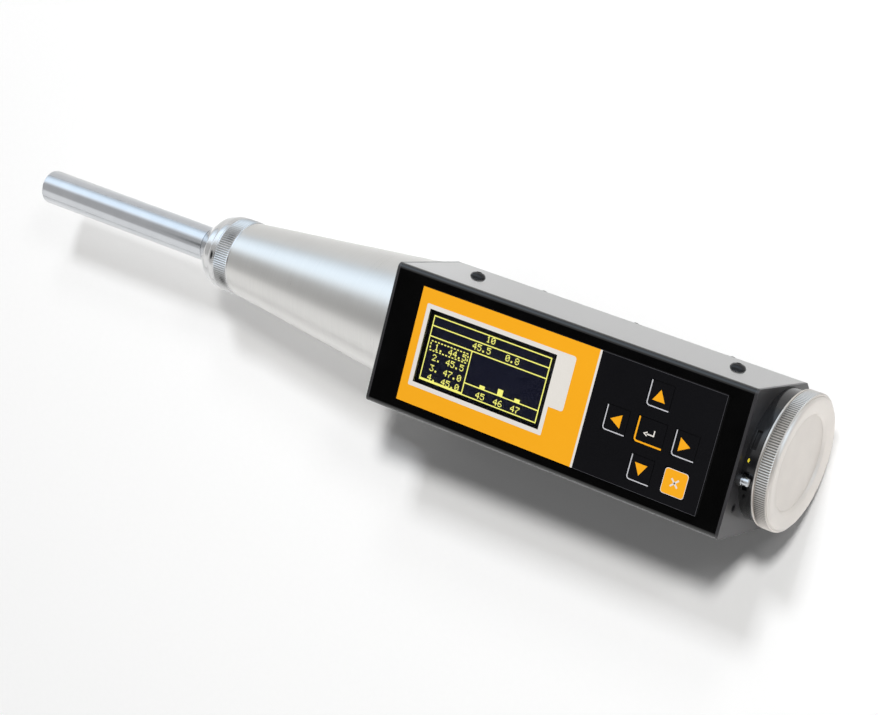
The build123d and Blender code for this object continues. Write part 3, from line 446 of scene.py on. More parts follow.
def thicken(shape, thick):
    """Raise a flat shape into a plate of this thickness."""
    raised = bmesh.ops.extrude_face_region(shape, geom=shape.faces[:])["geom"]
    lifted = [item for item in raised if isinstance(item, bmesh.types.BMVert)]
    bmesh.ops.translate(shape, vec=(0, 0, thick), verts=lifted)
    bmesh.ops.recalc_face_normals(shape, faces=shape.faces)


dot = bmesh.new()
bmesh.ops.create_circle(dot, cap_ends=True, segments=20, radius=0.55)
bmesh.ops.scale(dot, vec=(0.7, 1.5, 1), verts=dot.verts)
thicken(dot, 0.07)
bmesh.ops.translate(dot, vec=(rear + 1.7, axis_y + 0.2, axis_z + collar_r - 0.02), verts=dot.verts)
index_dot = piece("index_dot", dot, finish("index_yellow", index_yellow), "housing")


# End cap: aluminium screw cap at the rear, with a plain rim, a band of straight knurling,
# a rounded bead and a shallow dished end. It is turned all over, then bead-blasted in the dish.
CAP_TEETH = 168
cap_low, cap_high = extent("end_cap")
cap_r = (cap_high.z - cap_low.z) / 2 - 0.05
cap_band = (cap_low.x + 0.8, cap_low.x + 5.7)
groove_r = cap_r - KNURL_DEPTH
cap_inner = cap_high.x - 3.8


# The cap's knurl gets the painted groove shade at nearly full strength.
def cap_aluminium(place):
    return knurled_aluminium(place, cap_band, cap_r, tint(207, 202, 197), tint(228, 223, 217), 0.36, 0.95)


FACE_INSET = 0.9
BEAD_R = 1.5
BEAD_CENTRE_R = 24.6
face = cap_high.x - FACE_INSET
bead = arc((face - BEAD_R, BEAD_CENTRE_R), BEAD_R, 0, 90, 12)
cap_outline = [
    (face - 1.7, 0),
    (face - 1.7, 18.3),
    (face - 1.75, 18.6),
    (face - 1.6, 18.85),
    (face - 0.95, 19.5),
    (face - 0.75, 19.9),
    (face - 0.4, 21.3),
    (face - 0.15, 22.7),
    (face - 0.03, 23.8),
    *bead,
    (cap_band[1] + 0.15, BEAD_CENTRE_R + BEAD_R),
    (cap_band[1] + 0.15, groove_r),
    (cap_band[1], groove_r),
    (cap_band[1] - KNURL_EDGE, cap_r),
    (cap_band[0] + KNURL_EDGE, cap_r),
    (cap_band[0], groove_r),
    (cap_band[0] - 0.1, groove_r - 0.05),
    (cap_band[0] - 0.1, cap_r - 0.1),
    (cap_low.x + 0.1, cap_r - 0.1),
    (cap_low.x, cap_r - 0.2),
    (cap_low.x, thread_r + 0.05),
    (cap_inner, thread_r + 0.05),
    (cap_inner, 6.0),
    (cap_inner - 3.4, 6.0),
    (cap_inner - 3.4, 2.5),
    (cap_inner + 1.0, 2.5),
    (cap_inner + 1.0, 0)]


end_cap = piece("end_cap_shell", knurled(cap_outline, CAP_TEETH, *cap_band, cap_r, closed=False),
                finish("cap_aluminium", cap_aluminium), "housing")
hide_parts("end_cap")


# Impact plunger: hardened steel rod, ground and polished, with a crowned striking end and
# a ring groove at the nose's mouth that marks full reach. Its head is stopped by the sleeve.
def ground_steel(place):
    scratches = grain(place, 0.5, detail=5.0, stretch=(0.05, 1, 1))
    smears = grain(place, 9.0)
    bump = scratches.node("ShaderNodeBump", {"Height": scratches, "Strength": 0.05, "Distance": 0.01 * MM})
    return place.node("ShaderNodeBsdfPrincipled", {
        "Base Color": blend_tints(smears, tint(190, 193, 197), tint(207, 209, 212)),
        "Metallic": 1.0,
        "Roughness": 0.10 + scratches * 0.08 + smears * 0.04,
        "Normal": bump})


ground_finish = finish("ground_steel", ground_steel)
PLUNGER_R = 7.5
CROWN_R = 25.0
crown_lift = CROWN_R - math.sqrt(CROWN_R**2 - (PLUNGER_R - 0.6) ** 2)
crown_half = math.degrees(math.asin((PLUNGER_R - 0.6) / CROWN_R))
crown = arc((plunger_low.x + CROWN_R, 0), CROWN_R, 180, 180 - crown_half, 8)
shank = [
    (plunger_low.x + crown_lift + 0.18, PLUNGER_R - 0.28),
    (plunger_low.x + crown_lift + 0.4, PLUNGER_R - 0.08),
    (plunger_low.x + crown_lift + 0.7, PLUNGER_R),
    (nose_mouth - 0.8, PLUNGER_R),
    (nose_mouth - 0.8, PLUNGER_R - 0.3),
    (nose_mouth + 0.8, PLUNGER_R - 0.3),
    (nose_mouth + 0.8, PLUNGER_R),
    (sleeve_high.x + 0.3, PLUNGER_R),
    (sleeve_high.x + 0.3, 9.2),
    (plunger_high.x - 0.5, 9.2),
    (plunger_high.x, 8.7),
    (plunger_high.x, 4.08),
    (plunger_high.x - 20.0, 4.08),
    (plunger_high.x - 20.0, 0)]
impact_plunger = piece("plunger_rod", spun(crown + shank, steps=160, closed=False), ground_finish, "plunger")
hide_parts("impact_plunger")


# Guide bar and disk: the plunger's ground bar runs back to a steel disk in the tube, which
# carries the pawl on a pin. The mass flies along the bar; trip screw and nut sit in the cap.
dress(ground_finish, "guide_bar", "rider_rod")
dress(steel_finish, "guide_disk", "pawl_pin", "pawl", "hammer_mass", "trip_screw", "trip_locknut")


# Springs: coils of drawn spring wire. The impact spring hangs between the sleeve and the
# mass, the return spring pushes on the disk, and small ones sit in the bore and by the pawl.
def spring_steel(place):
    drawn = grain(place, 0.3, detail=4.0)
    return place.node("ShaderNodeBsdfPrincipled", {
        "Base Color": blend_tints(drawn, tint(120, 120, 126), tint(165, 165, 170)),
        "Metallic": 1.0,
        "Roughness": 0.28 + drawn * 0.12})


spring_finish = finish("spring_steel", spring_steel)


def coil(start, end, radius, wire, turns, centre=axis_place):
    """Wire wound into a helix between two stations, with capped ends."""
    shape = bmesh.new()
    section = bmesh.ops.create_circle(shape, segments=10, radius=wire / 2, matrix=Matrix.Rotation(
        math.pi / 2, 4, "X"))["verts"]
    bmesh.ops.translate(shape, vec=(start + wire / 2, 0, radius), verts=section)
    steps = int(turns * 28)
    travel = (end - start - wire) / steps
    bmesh.ops.spin(shape, geom=section + shape.edges[:], cent=(0, 0, 0), axis=(1, 0, 0),
                   dvec=(travel, 0, 0), angle=math.tau * turns, steps=steps, use_merge=False)
    bmesh.ops.holes_fill(shape, edges=[edge for edge in shape.edges if edge.is_boundary])
    bmesh.ops.recalc_face_normals(shape, faces=shape.faces)
    bmesh.ops.translate(shape, vec=centre, verts=shape.verts)
    return shape


def spring_in(node, name, turns, wire, body):
    """Coil that fills the plain tube of a CAD spring."""
    low, high = extent(node)
    made = piece(name, coil(low.x, high.x, (high.z - low.z - wire) / 2, wire, turns), spring_finish, body)
    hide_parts(node)
    return made


impact_spring = spring_in("impact_spring", "impact_coil", 9.5, 1.9, "housing")
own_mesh(impact_spring)
retaining_spring = spring_in("retaining_spring", "retaining_coil", 4.0, 0.8, "plunger")
return_spring = spring_in("return_spring", "return_coil", 6.0, 1.4, None)
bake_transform(return_spring)
dress(spring_finish, "pawl_spring")


# Rider and sensor: a moulded slide that the mass pushes back, its flag read by a printed
# strip under the board. The strip and the board are green fibreglass with tinned lands.
def moulded_black(place):
    pores = grain(place, 0.6, detail=5.0)
    bump = pores.node("ShaderNodeBump", {"Height": pores, "Strength": 0.25, "Distance": 0.03 * MM})
    return place.node("ShaderNodeBsdfPrincipled", {
        "Base Color": blend_tints(pores, tint(14, 14, 15), tint(30, 30, 32)),
        "Roughness": 0.42 + pores * 0.16,
        "Normal": bump})


def circuit_board(place):
    north = place.node("ShaderNodeSeparateXYZ", {"Vector": place}, output="Y")
    lanes = north.sum("FRACT", north * (1 / (1.27 * MM))) < 0.25
    weave = grain(place, 0.4, detail=2.0)
    broken = grain(place, 7.0, detail=1.0) > 0.52
    return place.node("ShaderNodeBsdfPrincipled", {
        "Base Color": blend_tints(lanes * broken * 0.7 + weave * 0.15, tint(16, 74, 44),
                                  tint(120, 160, 96)),
        "Roughness": 0.32 + weave * 0.1})


moulded_finish = finish("moulded_black", moulded_black)
dress(moulded_finish, "rider")
dress(finish("circuit_board", circuit_board), "sensor_strip", "main_board")


# Housing covers: 1.5 mm sheet, folded into a channel over a tray, and painted in smooth
# gloss black. The paint rounds the folds, and a fine orange peel shows in reflections.
def black_paint(place):
    peel = grain(place, 1.4, detail=2.0)
    wear = grain(place, 12.0, detail=6.0)
    specks = grain(place, 0.7, detail=2.0) > 0.74
    bump = peel.node("ShaderNodeBump", {"Height": peel, "Strength": 0.10, "Distance": 0.04 * MM})
    return place.node("ShaderNodeBsdfPrincipled", {
        "Base Color": blend_tints(specks * 0.06 + wear * 0.02, tint(2, 2, 2), tint(90, 90, 92)),
        "Roughness": 0.13 + wear * 0.06,
        "Specular IOR Level": 0.2,
        "Coat Weight": 0.9,
        "Coat Roughness": 0.06,
        "Normal": bump})


black_paint_finish = finish("black_paint", black_paint)
dress(black_paint_finish, "front_cover", "back_cover")
dress(steel_finish, "nut_rails")


# End plates: folded steel plates that close the housing, in the same paint, coloured a little greyer as a
# painted sheen. The rear one is pierced for the collar, the push pin and the charging socket.
def plate_paint(place):
    peel = grain(place, 1.1, detail=3.0)
    wear = grain(place, 9.0, detail=5.0)
    bump = peel.node("ShaderNodeBump", {"Height": peel, "Strength": 0.12, "Distance": 0.04 * MM})
    return place.node("ShaderNodeBsdfPrincipled", {
        # The grey base colour is painted sheen: it stands in for the light that the glossy black plates
        # reflect.
        "Base Color": blend_tints(wear, tint(34, 33, 35), tint(58, 57, 59)),
        "Roughness": 0.26 + wear * 0.12,
        "Normal": bump})


dress(finish("plate_paint", plate_paint), "front_plate", "rear_plate")


# Side screws: four black button-head screws, two on each side of the cover, that hold it to
# the saddles. Each head is domed, with a hexagon socket. The six back screws are alike.
SOCKET_CORNERS = 6


def black_oxide(place):
    rubbed = grain(place, 0.8, detail=4.0)
    return place.node("ShaderNodeBsdfPrincipled", {
        "Base Color": blend_tints(rubbed, tint(16, 16, 17), tint(46, 46, 48)),
        "Metallic": 0.5,
        "Roughness": 0.12 + rubbed * 0.14})


def button_head(radius, height, grip, shank_r, socket_r):
    """Domed screw along +Z from its seat at zero, with a sunk hexagon and a shank below."""
    shape = bmesh.new()
    dome = [(0, 0, height), (0.45 * radius, 0, 0.97 * height), (0.72 * radius, 0, 0.78 * height),
            (0.90 * radius, 0, 0.48 * height), (radius, 0, 0.12 * height), (radius, 0, 0),
            (shank_r, 0, 0), (shank_r, 0, -grip), (0, 0, -grip)]
    corners = [shape.verts.new(place) for place in dome]
    edges = [shape.edges.new(pair) for pair in zip(corners, corners[1:])]
    bmesh.ops.spin(shape, geom=corners + edges, cent=(0, 0, 0), axis=(0, 0, 1), angle=math.tau, steps=36,
                   use_merge=True)
    bmesh.ops.remove_doubles(shape, verts=shape.verts, dist=0.0005)
    bmesh.ops.recalc_face_normals(shape, faces=shape.faces)
    inner = [face for face in shape.faces if face.calc_center_median().xy.length < 0.3 * radius
             and face.calc_center_median().z > 0.5 * height]
    sunk = bmesh.ops.extrude_face_region(shape, geom=inner)["geom"]
    bmesh.ops.delete(shape, geom=inner, context="FACES")
    floor = [item for item in sunk if isinstance(item, bmesh.types.BMVert)]
    bmesh.ops.translate(shape, vec=(0, 0, -0.5 * height), verts=floor)
    for vert in shape.verts:
        if abs(vert.co.xy.length - 0.45 * radius) < 0.02 * radius:
            turn = math.atan2(vert.co.y, vert.co.x)
            part = (turn % (math.tau / SOCKET_CORNERS)) - math.pi / SOCKET_CORNERS
            reach = socket_r * math.cos(math.pi / SOCKET_CORNERS) / math.cos(part)
            vert.co.xy = Vector((math.cos(turn), math.sin(turn))) * reach
    return shape


def join(shape, other):
    """Move all of another shape into a shape."""
    spare = bpy.data.meshes.new("spare")
    other.to_mesh(spare)
    other.free()
    shape.from_mesh(spare)
    bpy.data.meshes.remove(spare)


def screw_set(name, places, node, **sizes):
    """Like screws joined into one piece, each turned out along its own direction."""
    joined = bmesh.new()
    for seat, outward in places:
        screw = button_head(**sizes)
        bmesh.ops.rotate(screw, cent=(0, 0, 0), verts=screw.verts,
                         matrix=Vector((0, 0, 1)).rotation_difference(outward).to_matrix())
        bmesh.ops.translate(screw, vec=seat, verts=screw.verts)
        join(joined, screw)
    made = piece(name, joined, screw_finish, "housing", sharp=40)
    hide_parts(node)
    return made


screw_finish = finish("black_oxide", black_oxide)
SIDE_HEAD_R = 3.1
cover_high = extent("front_cover")[1]
back_high = extent("back_cover")[1]
side_low, side_high = extent("side_screws")
side_x = side_high.x - SIDE_HEAD_R
side_z = (side_low.z + side_high.z) / 2
side_places = [(Vector((x, side * cover_high.y, side_z)), Vector((0, side, 0)))
               for x in (-side_x, side_x) for side in (1, -1)]
screw_set("side_button_screws", side_places, "side_screws",
          radius=SIDE_HEAD_R, height=1.9, grip=4.9, shank_r=1.5, socket_r=1.15)

BACK_FLAT = 36.0
BACK_HEAD_R = 2.2
BACK_SCREW_INSET = 3.4
flank_x = back_high.y - BACK_FLAT / 2
FLANK_HEIGHT = 14.3
flank_run = math.hypot(flank_x, FLANK_HEIGHT)
flank_share = (flank_run - BACK_SCREW_INSET) / flank_run
back_side_low, back_side_high = extent("back_screws")
back_middle = (back_side_low.x + back_side_high.x) / 2
back_pitch = (back_side_high.x - back_side_low.x) / 2 - BACK_HEAD_R
back_places = []
for side in (1, -1):
    outward = Vector((0, side * FLANK_HEIGHT, -flank_x)).normalized()
    seat = Vector((0, side * (BACK_FLAT / 2 + flank_share * flank_x), flank_share * FLANK_HEIGHT))
    for row in (-1, 0, 1):
        back_places.append((seat + Vector((back_middle + row * back_pitch, 0, 0)), outward))
screw_set("back_button_screws", back_places, "back_screws",
          radius=BACK_HEAD_R, height=1.5, grip=1.5, shank_r=1.25, socket_r=0.85)


# Keypad membrane: printed polyester film on the cover, with a window opening. Its ground is
# satin black; the inks are screen-printed: an orange field, a pale frame and thin rules.
INK = 0.03


def film(place, dark, light, rough):
    """Satin printed film with the faint pebble of its hard coat."""
    pebble = grain(place, 0.35, detail=3.0)
    clouds = grain(place, 18.0)
    bump = pebble.node("ShaderNodeBump", {"Height": pebble, "Strength": 0.12, "Distance": 0.02 * MM})
    return place.node("ShaderNodeBsdfPrincipled", {
        "Base Color": blend_tints(pebble * 0.5 + clouds * 0.5, dark, light),
        "Roughness": rough + (pebble - 0.5) * 0.08,
        "Normal": bump})


def film_black(place):
    return film(place, tint(11, 11, 13), tint(18, 18, 21), 0.18)


def film_orange(place):
    return film(place, tint(246, 168, 24), tint(250, 176, 34), 0.24)


def film_pale(place):
    return film(place, tint(222, 217, 210), tint(234, 230, 224), 0.26)


def film_grey(place):
    return film(place, tint(190, 190, 195), tint(208, 208, 212), 0.26)


black_film = finish("film_black", film_black)
orange_film = finish("film_orange", film_orange)
pale_film = finish("film_pale", film_pale)
grey_film = finish("film_grey", film_grey)
dress(black_film, "keypad_membrane")
label_low, label_high = extent("keypad_membrane")
window_low, window_high = extent("display_window")
RIM = 0.8
open_low = window_low.xy + Vector((RIM, RIM))
open_high = window_high.xy - Vector((RIM, RIM))


def print_block(shape, west, south, east, north, under, corner=0.0, thick=INK):
    """Flat block of ink between four edges, its corners rounded, standing on a height."""
    made = bmesh.ops.create_grid(shape, x_segments=1, y_segments=1, size=0.5)["verts"]
    bmesh.ops.scale(shape, vec=(east - west, north - south, 1), verts=made)
    bmesh.ops.translate(shape, vec=((east + west) / 2, (north + south) / 2, under), verts=made)
    if corner:
        made = bmesh.ops.bevel(shape, geom=made, offset=corner, offset_type="OFFSET", segments=5, profile=0.5,
                               affect="VERTICES", material=-1)["verts"]
    faces = list({face for vert in made for face in vert.link_faces})
    raised = bmesh.ops.extrude_face_region(shape, geom=faces)["geom"]
    lifted = [item for item in raised if isinstance(item, bmesh.types.BMVert)]
    bmesh.ops.translate(shape, vec=(0, 0, thick), verts=lifted)
    block = {face for vert in lifted + made for face in vert.link_faces}
    bmesh.ops.recalc_face_normals(shape, faces=list(block))


def framed_block(shape, outer, hole, under, corner=0.0, thick=INK):
    """Block of ink round a rectangular hole, as two bars laid over the ends of two others."""
    west, south, east, north = outer
    hole_west, hole_south, hole_east, hole_north = hole
    print_block(shape, west, south, hole_west, north, under, corner, thick)
    print_block(shape, hole_east, south, east, north, under, corner, thick)
    print_block(shape, west, hole_north, east, north, under + 0.004, corner, thick)
    print_block(shape, west, south, east, hole_south, under + 0.004, corner, thick)


def printed(name, shape, ink, body):
    """Piece of ink that rides on a body."""
    piece(name, shape, ink, body)


opening = (open_low.x, open_low.y, open_high.x, open_high.y)
film_top = label_high.z
orange_shape = bmesh.new()
ORANGE_LENGTH = 80.5
orange_edge = label_low.x + ORANGE_LENGTH
framed_block(orange_shape, (label_low.x, label_low.y, orange_edge, label_high.y), opening, film_top - 0.01)
printed("orange_field", orange_shape, orange_film, "housing")

pale_shape = bmesh.new()
FRAME_BAND = 1.8
TAB_FOOT = -4.3
TAB_WIDTH = 8.2
STRIP = 0.9
frame_edges = (open_low.x - FRAME_BAND, open_low.y - FRAME_BAND,
               open_high.x + FRAME_BAND, open_high.y + FRAME_BAND)
framed_block(pale_shape, frame_edges, opening, film_top + INK, corner=0.6)
print_block(pale_shape, open_high.x, TAB_FOOT, open_high.x + TAB_WIDTH, frame_edges[3],
            film_top + INK + 0.008, corner=1.1)
print_block(pale_shape, open_high.x, TAB_FOOT, open_high.x + 3.0, frame_edges[3], film_top + INK + 0.012)
print_block(pale_shape, orange_edge, label_low.y, orange_edge + STRIP, label_high.y, film_top - 0.01)
printed("pale_frame", pale_shape, pale_film, "housing")


def film_dim(place):
    return film(place, tint(54, 54, 58), tint(88, 88, 92), 0.24)


rule_shape = bmesh.new()
RULE = 0.14
rule_edges = (orange_edge + STRIP, label_low.y + 0.02, label_high.x - 0.02, label_high.y - 0.02)
framed_block(rule_shape, rule_edges, (rule_edges[0] + 0.01, rule_edges[1] + RULE, rule_edges[2] - RULE,
                                      rule_edges[3] - RULE), film_top - 0.02)
printed("film_rule", rule_shape, finish("film_dim", film_dim), "housing")


# Keys: six dome keys under the film, each cap printed with its own sign: four orange arrows
# in thin corner rules, a return arrow on the enter key and a cross on the orange one.
KEY_RULE = 0.42
ARROW = 3.0
key_top = extent("key_up")[1].z
ARROW_TURNS = {"key_up": 0, "key_left": 90, "key_down": 180, "key_right": -90}


def corner_rule(shape, low, high, width):
    """Rule down a key's left edge and along its foot, with a rounded corner."""
    radius = 1.4
    west = low.x + 0.3
    south = low.y + 0.1
    print_block(shape, west, south + radius, west + width, high.y - 0.1, key_top - 0.01)
    print_block(shape, west + radius, south, high.x - 0.1, south + width, key_top - 0.01)
    bend = bmesh.new()
    inner = bend.verts.new((-radius, 0, 0))
    outer = bend.verts.new((-radius + width, 0, 0))
    edge = bend.edges.new((inner, outer))
    bmesh.ops.spin(bend, geom=[inner, outer, edge], cent=(0, 0, 0), axis=(0, 0, 1), angle=math.pi / 2,
                   steps=8)
    thicken(bend, INK)
    bmesh.ops.translate(bend, vec=(west + radius, south + radius, key_top - 0.01), verts=bend.verts)
    join(shape, bend)


def arrow(centre, turn):
    """Solid triangle of ink that points along +Y when it isn't turned."""
    shape = bmesh.new()
    bmesh.ops.create_circle(shape, cap_ends=True, segments=3, radius=ARROW)
    bmesh.ops.translate(shape, vec=(0, -ARROW / 4, 0), verts=shape.verts)
    thicken(shape, INK)
    bmesh.ops.rotate(shape, cent=(0, 0, 0), matrix=Matrix.Rotation(math.radians(turn), 3, "Z"),
                     verts=shape.verts)
    bmesh.ops.translate(shape, vec=(centre.x, centre.y, key_top - 0.01), verts=shape.verts)
    return shape


dress(black_film, "key_up", "key_left", "key_right", "key_down", "key_enter", "key_escape")
for key, turn in ARROW_TURNS.items():
    low, high = extent(key)
    printed(key + "_arrow", arrow((low + high) / 2, turn), orange_film, key)
    rules = bmesh.new()
    corner_rule(rules, low, high, KEY_RULE)
    printed(key + "_rule", rules, grey_film, key)

enter_low, enter_high = extent("key_enter")
enter_middle = (enter_low + enter_high) / 2
enter_shape = bmesh.new()
corner_rule(enter_shape, enter_low, enter_high, KEY_RULE * 1.6)
printed("key_enter_rule", enter_shape, orange_film, "key_enter")
return_shape = bmesh.new()
print_block(return_shape, enter_middle.x - 1.6, enter_middle.y - 1.0, enter_middle.x + 2.0,
            enter_middle.y - 0.5, key_top - 0.01)
print_block(return_shape, enter_middle.x + 1.5, enter_middle.y - 0.5, enter_middle.x + 2.0,
            enter_middle.y + 1.3, key_top - 0.01)
printed("key_enter_line", return_shape, pale_film, "key_enter")
head = arrow(Vector((0, 0, 0)), 90)
bmesh.ops.scale(head, vec=(0.38, 0.38, 1), verts=head.verts)
bmesh.ops.translate(head, vec=(enter_middle.x - 1.8, enter_middle.y - 0.75, 0), verts=head.verts)
printed("key_enter_head", head, pale_film, "key_enter")

escape_low, escape_high = extent("key_escape")
escape_middle = (escape_low + escape_high) / 2
escape_border = bmesh.new()
print_block(escape_border, escape_low.x + 0.05, escape_low.y + 0.05, escape_high.x - 0.05,
            escape_high.y - 0.05, key_top - 0.01, corner=1.2)
printed("key_escape_border", escape_border, pale_film, "key_escape")
escape_field = bmesh.new()
print_block(escape_field, escape_low.x + 0.25, escape_low.y + 0.25, escape_high.x - 0.25,
            escape_high.y - 0.25, key_top + INK - 0.01, corner=1.1)
printed("key_escape_field", escape_field, orange_film, "key_escape")
cross_shape = bmesh.new()
for turn in (45, -45):
    stroke = bmesh.new()
    print_block(stroke, -2.1, -0.32, 2.1, 0.32, 0)
    bmesh.ops.rotate(stroke, cent=(0, 0, 0), matrix=Matrix.Rotation(math.radians(turn), 3, "Z"),
                     verts=stroke.verts)
    bmesh.ops.translate(stroke, vec=(escape_middle.x, escape_middle.y, key_top + 2 * INK - 0.02),
                        verts=stroke.verts)
    join(cross_shape, stroke)
printed("key_escape_cross", cross_shape, pale_film, "key_escape")


# Display: a graphic module behind a clear window let into the cover, with the film's clear
# part over it. The glass is nearly black with a cold cast; lines and figures are lit yellow.
def clear_window(place):
    smear = grain(place, 6.0)
    gloss = place.node("ShaderNodeBsdfPrincipled", {
        "Base Color": tint(255, 255, 255),
        "Metallic": 1.0,
        "Roughness": 0.05 + smear * 0.04})
    through = place.node("ShaderNodeBsdfTransparent", {"Color": tint(250, 251, 255)})
    facing = place.node("ShaderNodeFresnel", {"IOR": 1.35})
    return gloss.node("ShaderNodeMixShader", {"Fac": facing, 1: through, 2: gloss})


def bezel_black(place):
    dust = grain(place, 0.8)
    return place.node("ShaderNodeBsdfPrincipled", {
        "Base Color": blend_tints(dust, tint(3, 3, 4), tint(8, 8, 9)),
        "Roughness": 0.35 + dust * 0.1})


def screen_glow(place):
    cells = grain(place, 0.25, detail=1.0)
    return place.node("ShaderNodeBsdfPrincipled", {
        "Base Color": blend_tints(cells, tint(8, 8, 14), tint(12, 12, 20)),
        "Emission Color": blend_tints(cells, tint(11, 11, 24), tint(16, 16, 32)),
        "Emission Strength": 0.7,
        "Roughness": 0.3 + cells * 0.1})


def pixel_yellow(place):
    cells = grain(place, 0.2, detail=1.0)
    return place.node("ShaderNodeBsdfPrincipled", {
        "Base Color": tint(60, 58, 20),
        "Emission Color": blend_tints(cells, tint(232, 224, 92), tint(252, 246, 128)),
        "Emission Strength": 1.35,
        "Roughness": 0.4 + cells * 0.1})


window_finish = finish("clear_window", clear_window)
dress(window_finish, "display_window")
dress(finish("bezel_black", bezel_black), "display_module")
pane_shape = bmesh.new()
print_block(pane_shape, *opening, film_top - 0.25, thick=0.22)
printed("clear_film", pane_shape, window_finish, "housing")

module_top = extent("display_module")[1].z
SCREEN = (-58.7, -12.85, -4.3, 13.15)
glass_height = window_low.z - 0.26
screen_shape = bmesh.new()
print_block(screen_shape, *SCREEN, module_top + 0.02, thick=glass_height - module_top - 0.02)
screen_glass = piece("screen_glass", screen_shape, finish("screen_glow", screen_glow), "housing")

yellow_finish = finish("pixel_yellow", pixel_yellow)
LINE = 0.46
DIVIDER_X = -38.8
TITLE_LINES = (8.85, 4.62)
BAR_FOOT = -8.1
BARS = {-30.4: 1.6, -22.2: 2.8, -14.3: 1.6}
DASH = 0.85
DASH_PITCH = 1.5
lines = bmesh.new()
west, south, east, north = SCREEN
framed_block(lines, SCREEN, (west + LINE, south + LINE, east - LINE, north - LINE), glass_height)
for height in TITLE_LINES:
    print_block(lines, west, height, east, height + LINE, glass_height)
print_block(lines, DIVIDER_X, south, DIVIDER_X + LINE, TITLE_LINES[1], glass_height)
print_block(lines, west, south, DIVIDER_X, south + 2 * LINE, glass_height)
print_block(lines, DIVIDER_X, BAR_FOOT, east, BAR_FOOT + LINE, glass_height)
for middle, rise in BARS.items():
    print_block(lines, middle - 1.2, BAR_FOOT, middle + 1.2, BAR_FOOT + rise, glass_height)
for i in range(12):
    dash_west = west + 1.5 + i * DASH_PITCH
    print_block(lines, dash_west, 3.0, dash_west + DASH, 3.0 + LINE, glass_height)
    print_block(lines, dash_west, -0.7, dash_west + DASH, -0.7 + LINE, glass_height)
for side in (west + 1.5, west + 19.0):
    for foot in (0.3, 1.7):
        print_block(lines, side - LINE / 2, foot, side + LINE / 2, foot + DASH, glass_height)
printed("screen_lines", lines, yellow_finish, "housing")


# Figures on the display: rows of square dots, five wide and seven high, on a six-dot pitch,
# lit in the same yellow. They are a made-up series of readings: a count, a mean and a spread.
DOT = 0.36
DOT_LIT = 0.36
FIGURE_DOTS = {
    "0": ".###. #...# #..## #.#.# ##..# #...# .###.",
    "1": "..#.. .##.. ..#.. ..#.. ..#.. ..#.. .###.",
    "2": ".###. #...# ....# ...#. ..#.. .#... #####",
    "3": "##### ...#. ..#.. ...#. ....# #...# .###.",
    "4": "...#. ..##. .#.#. #..#. ##### ...#. ...#.",
    "5": "##### #.... ####. ....# ....# #...# .###.",
    "6": "..##. .#... #.... ####. #...# #...# .###.",
    "7": "##### ....# ...#. ..#.. .#... .#... .#...",
    "8": ".###. #...# #...# .###. #...# #...# .###.",
    ".": "..... ..... ..... ..... ..... .##.. .##..",
    " ": "..... ..... ..... ..... ..... ..... ....."}
LIST_WEST = -55.1
LIST_TOP = 1.3
LIST_PITCH = 4.17
figure_rows = [
    ("10", -33.7, 11.4),
    ("45.5", -38.9, 7.1),
    ("0.8", -23.7, 7.1),
    ("1. 44.5", LIST_WEST, LIST_TOP),
    ("2. 45.5", LIST_WEST, LIST_TOP - LIST_PITCH),
    ("3. 47.0", LIST_WEST, LIST_TOP - 2 * LIST_PITCH),
    ("4. 45.0", LIST_WEST, LIST_TOP - 2.9 * LIST_PITCH),
    ("45", -32.4, -10.7),
    ("46", -24.2, -10.7),
    ("47", -16.3, -10.7)]


def figure_block(shape, text, row_west, middle):
    """Lit dots of a row of figures, from its left edge and the height of its middle."""
    for place, sign in enumerate(text):
        for line, dots in enumerate(FIGURE_DOTS[sign].split()):
            for column, dot in enumerate(dots):
                if dot == "#":
                    dot_west = row_west + (6 * place + column) * DOT
                    dot_foot = middle + (2.5 - line) * DOT
                    print_block(shape, dot_west, dot_foot, dot_west + DOT_LIT, dot_foot + DOT_LIT,
                                glass_height)


figures = bmesh.new()
for text, row_west, middle in figure_rows:
    figure_block(figures, text, row_west, middle)
printed("screen_figures", figures, yellow_finish, "housing")


# Electronics inside: key switches and clip in black moulding, brass standoffs, and a flat
# battery in blue shrink sleeve. None of it shows unless the cover is off.
def brass_standoff(place):
    return turned_metal(place, tint(196, 158, 84), tint(222, 188, 112), 0.28, 0.4, 0.1)


def shrink_sleeve(place):
    creases = grain(place, 3.0, detail=3.0, stretch=(0.3, 1, 1))
    bump = creases.node("ShaderNodeBump", {"Height": creases, "Strength": 0.3, "Distance": 0.1 * MM})
    return place.node("ShaderNodeBsdfPrincipled", {
        "Base Color": blend_tints(creases, tint(24, 58, 120), tint(36, 78, 150)),
        "Roughness": 0.3 + creases * 0.1,
        "Normal": bump})


dress(moulded_finish, "key_switches", "battery_clip", "charge_socket")
dress(finish("brass_standoff", brass_standoff), "board_standoffs")
dress(finish("shrink_sleeve", shrink_sleeve), "battery")


# Power button: a polished steel pin that slides in a black ribbed bush on the rear plate
# and works a switch inside. Its end is rounded over on the lathe.
pin_low, pin_high = extent("power_button")
bush_low, bush_high = extent("button_bush")
pin_place = Vector((0, (pin_low.y + pin_high.y) / 2, (pin_low.z + pin_high.z) / 2))
pin_r = (pin_high.z - pin_low.z) / 2
bush_r = (bush_high.z - bush_low.z) / 2
STEM_LENGTH = 5.0
pin_end = arc((pin_high.x - 0.7, pin_r - 0.7), 0.7, 0, 90, 5)
pin_shape = spun([(pin_high.x, 0)] + pin_end + [
    (bush_high.x + 0.9, pin_r),
    (bush_high.x + 0.7, pin_r - 0.25),
    (bush_high.x + 0.4, pin_r - 0.25),
    (bush_high.x + 0.2, pin_r),
    (pin_low.x + STEM_LENGTH, pin_r),
    (pin_low.x + STEM_LENGTH, 0.7),
    (pin_low.x, 0.7),
    (pin_low.x, 0)], steps=48, centre=pin_place, closed=False)
push_pin = piece("push_pin", pin_shape, ground_finish, "power_button")
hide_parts("power_button")
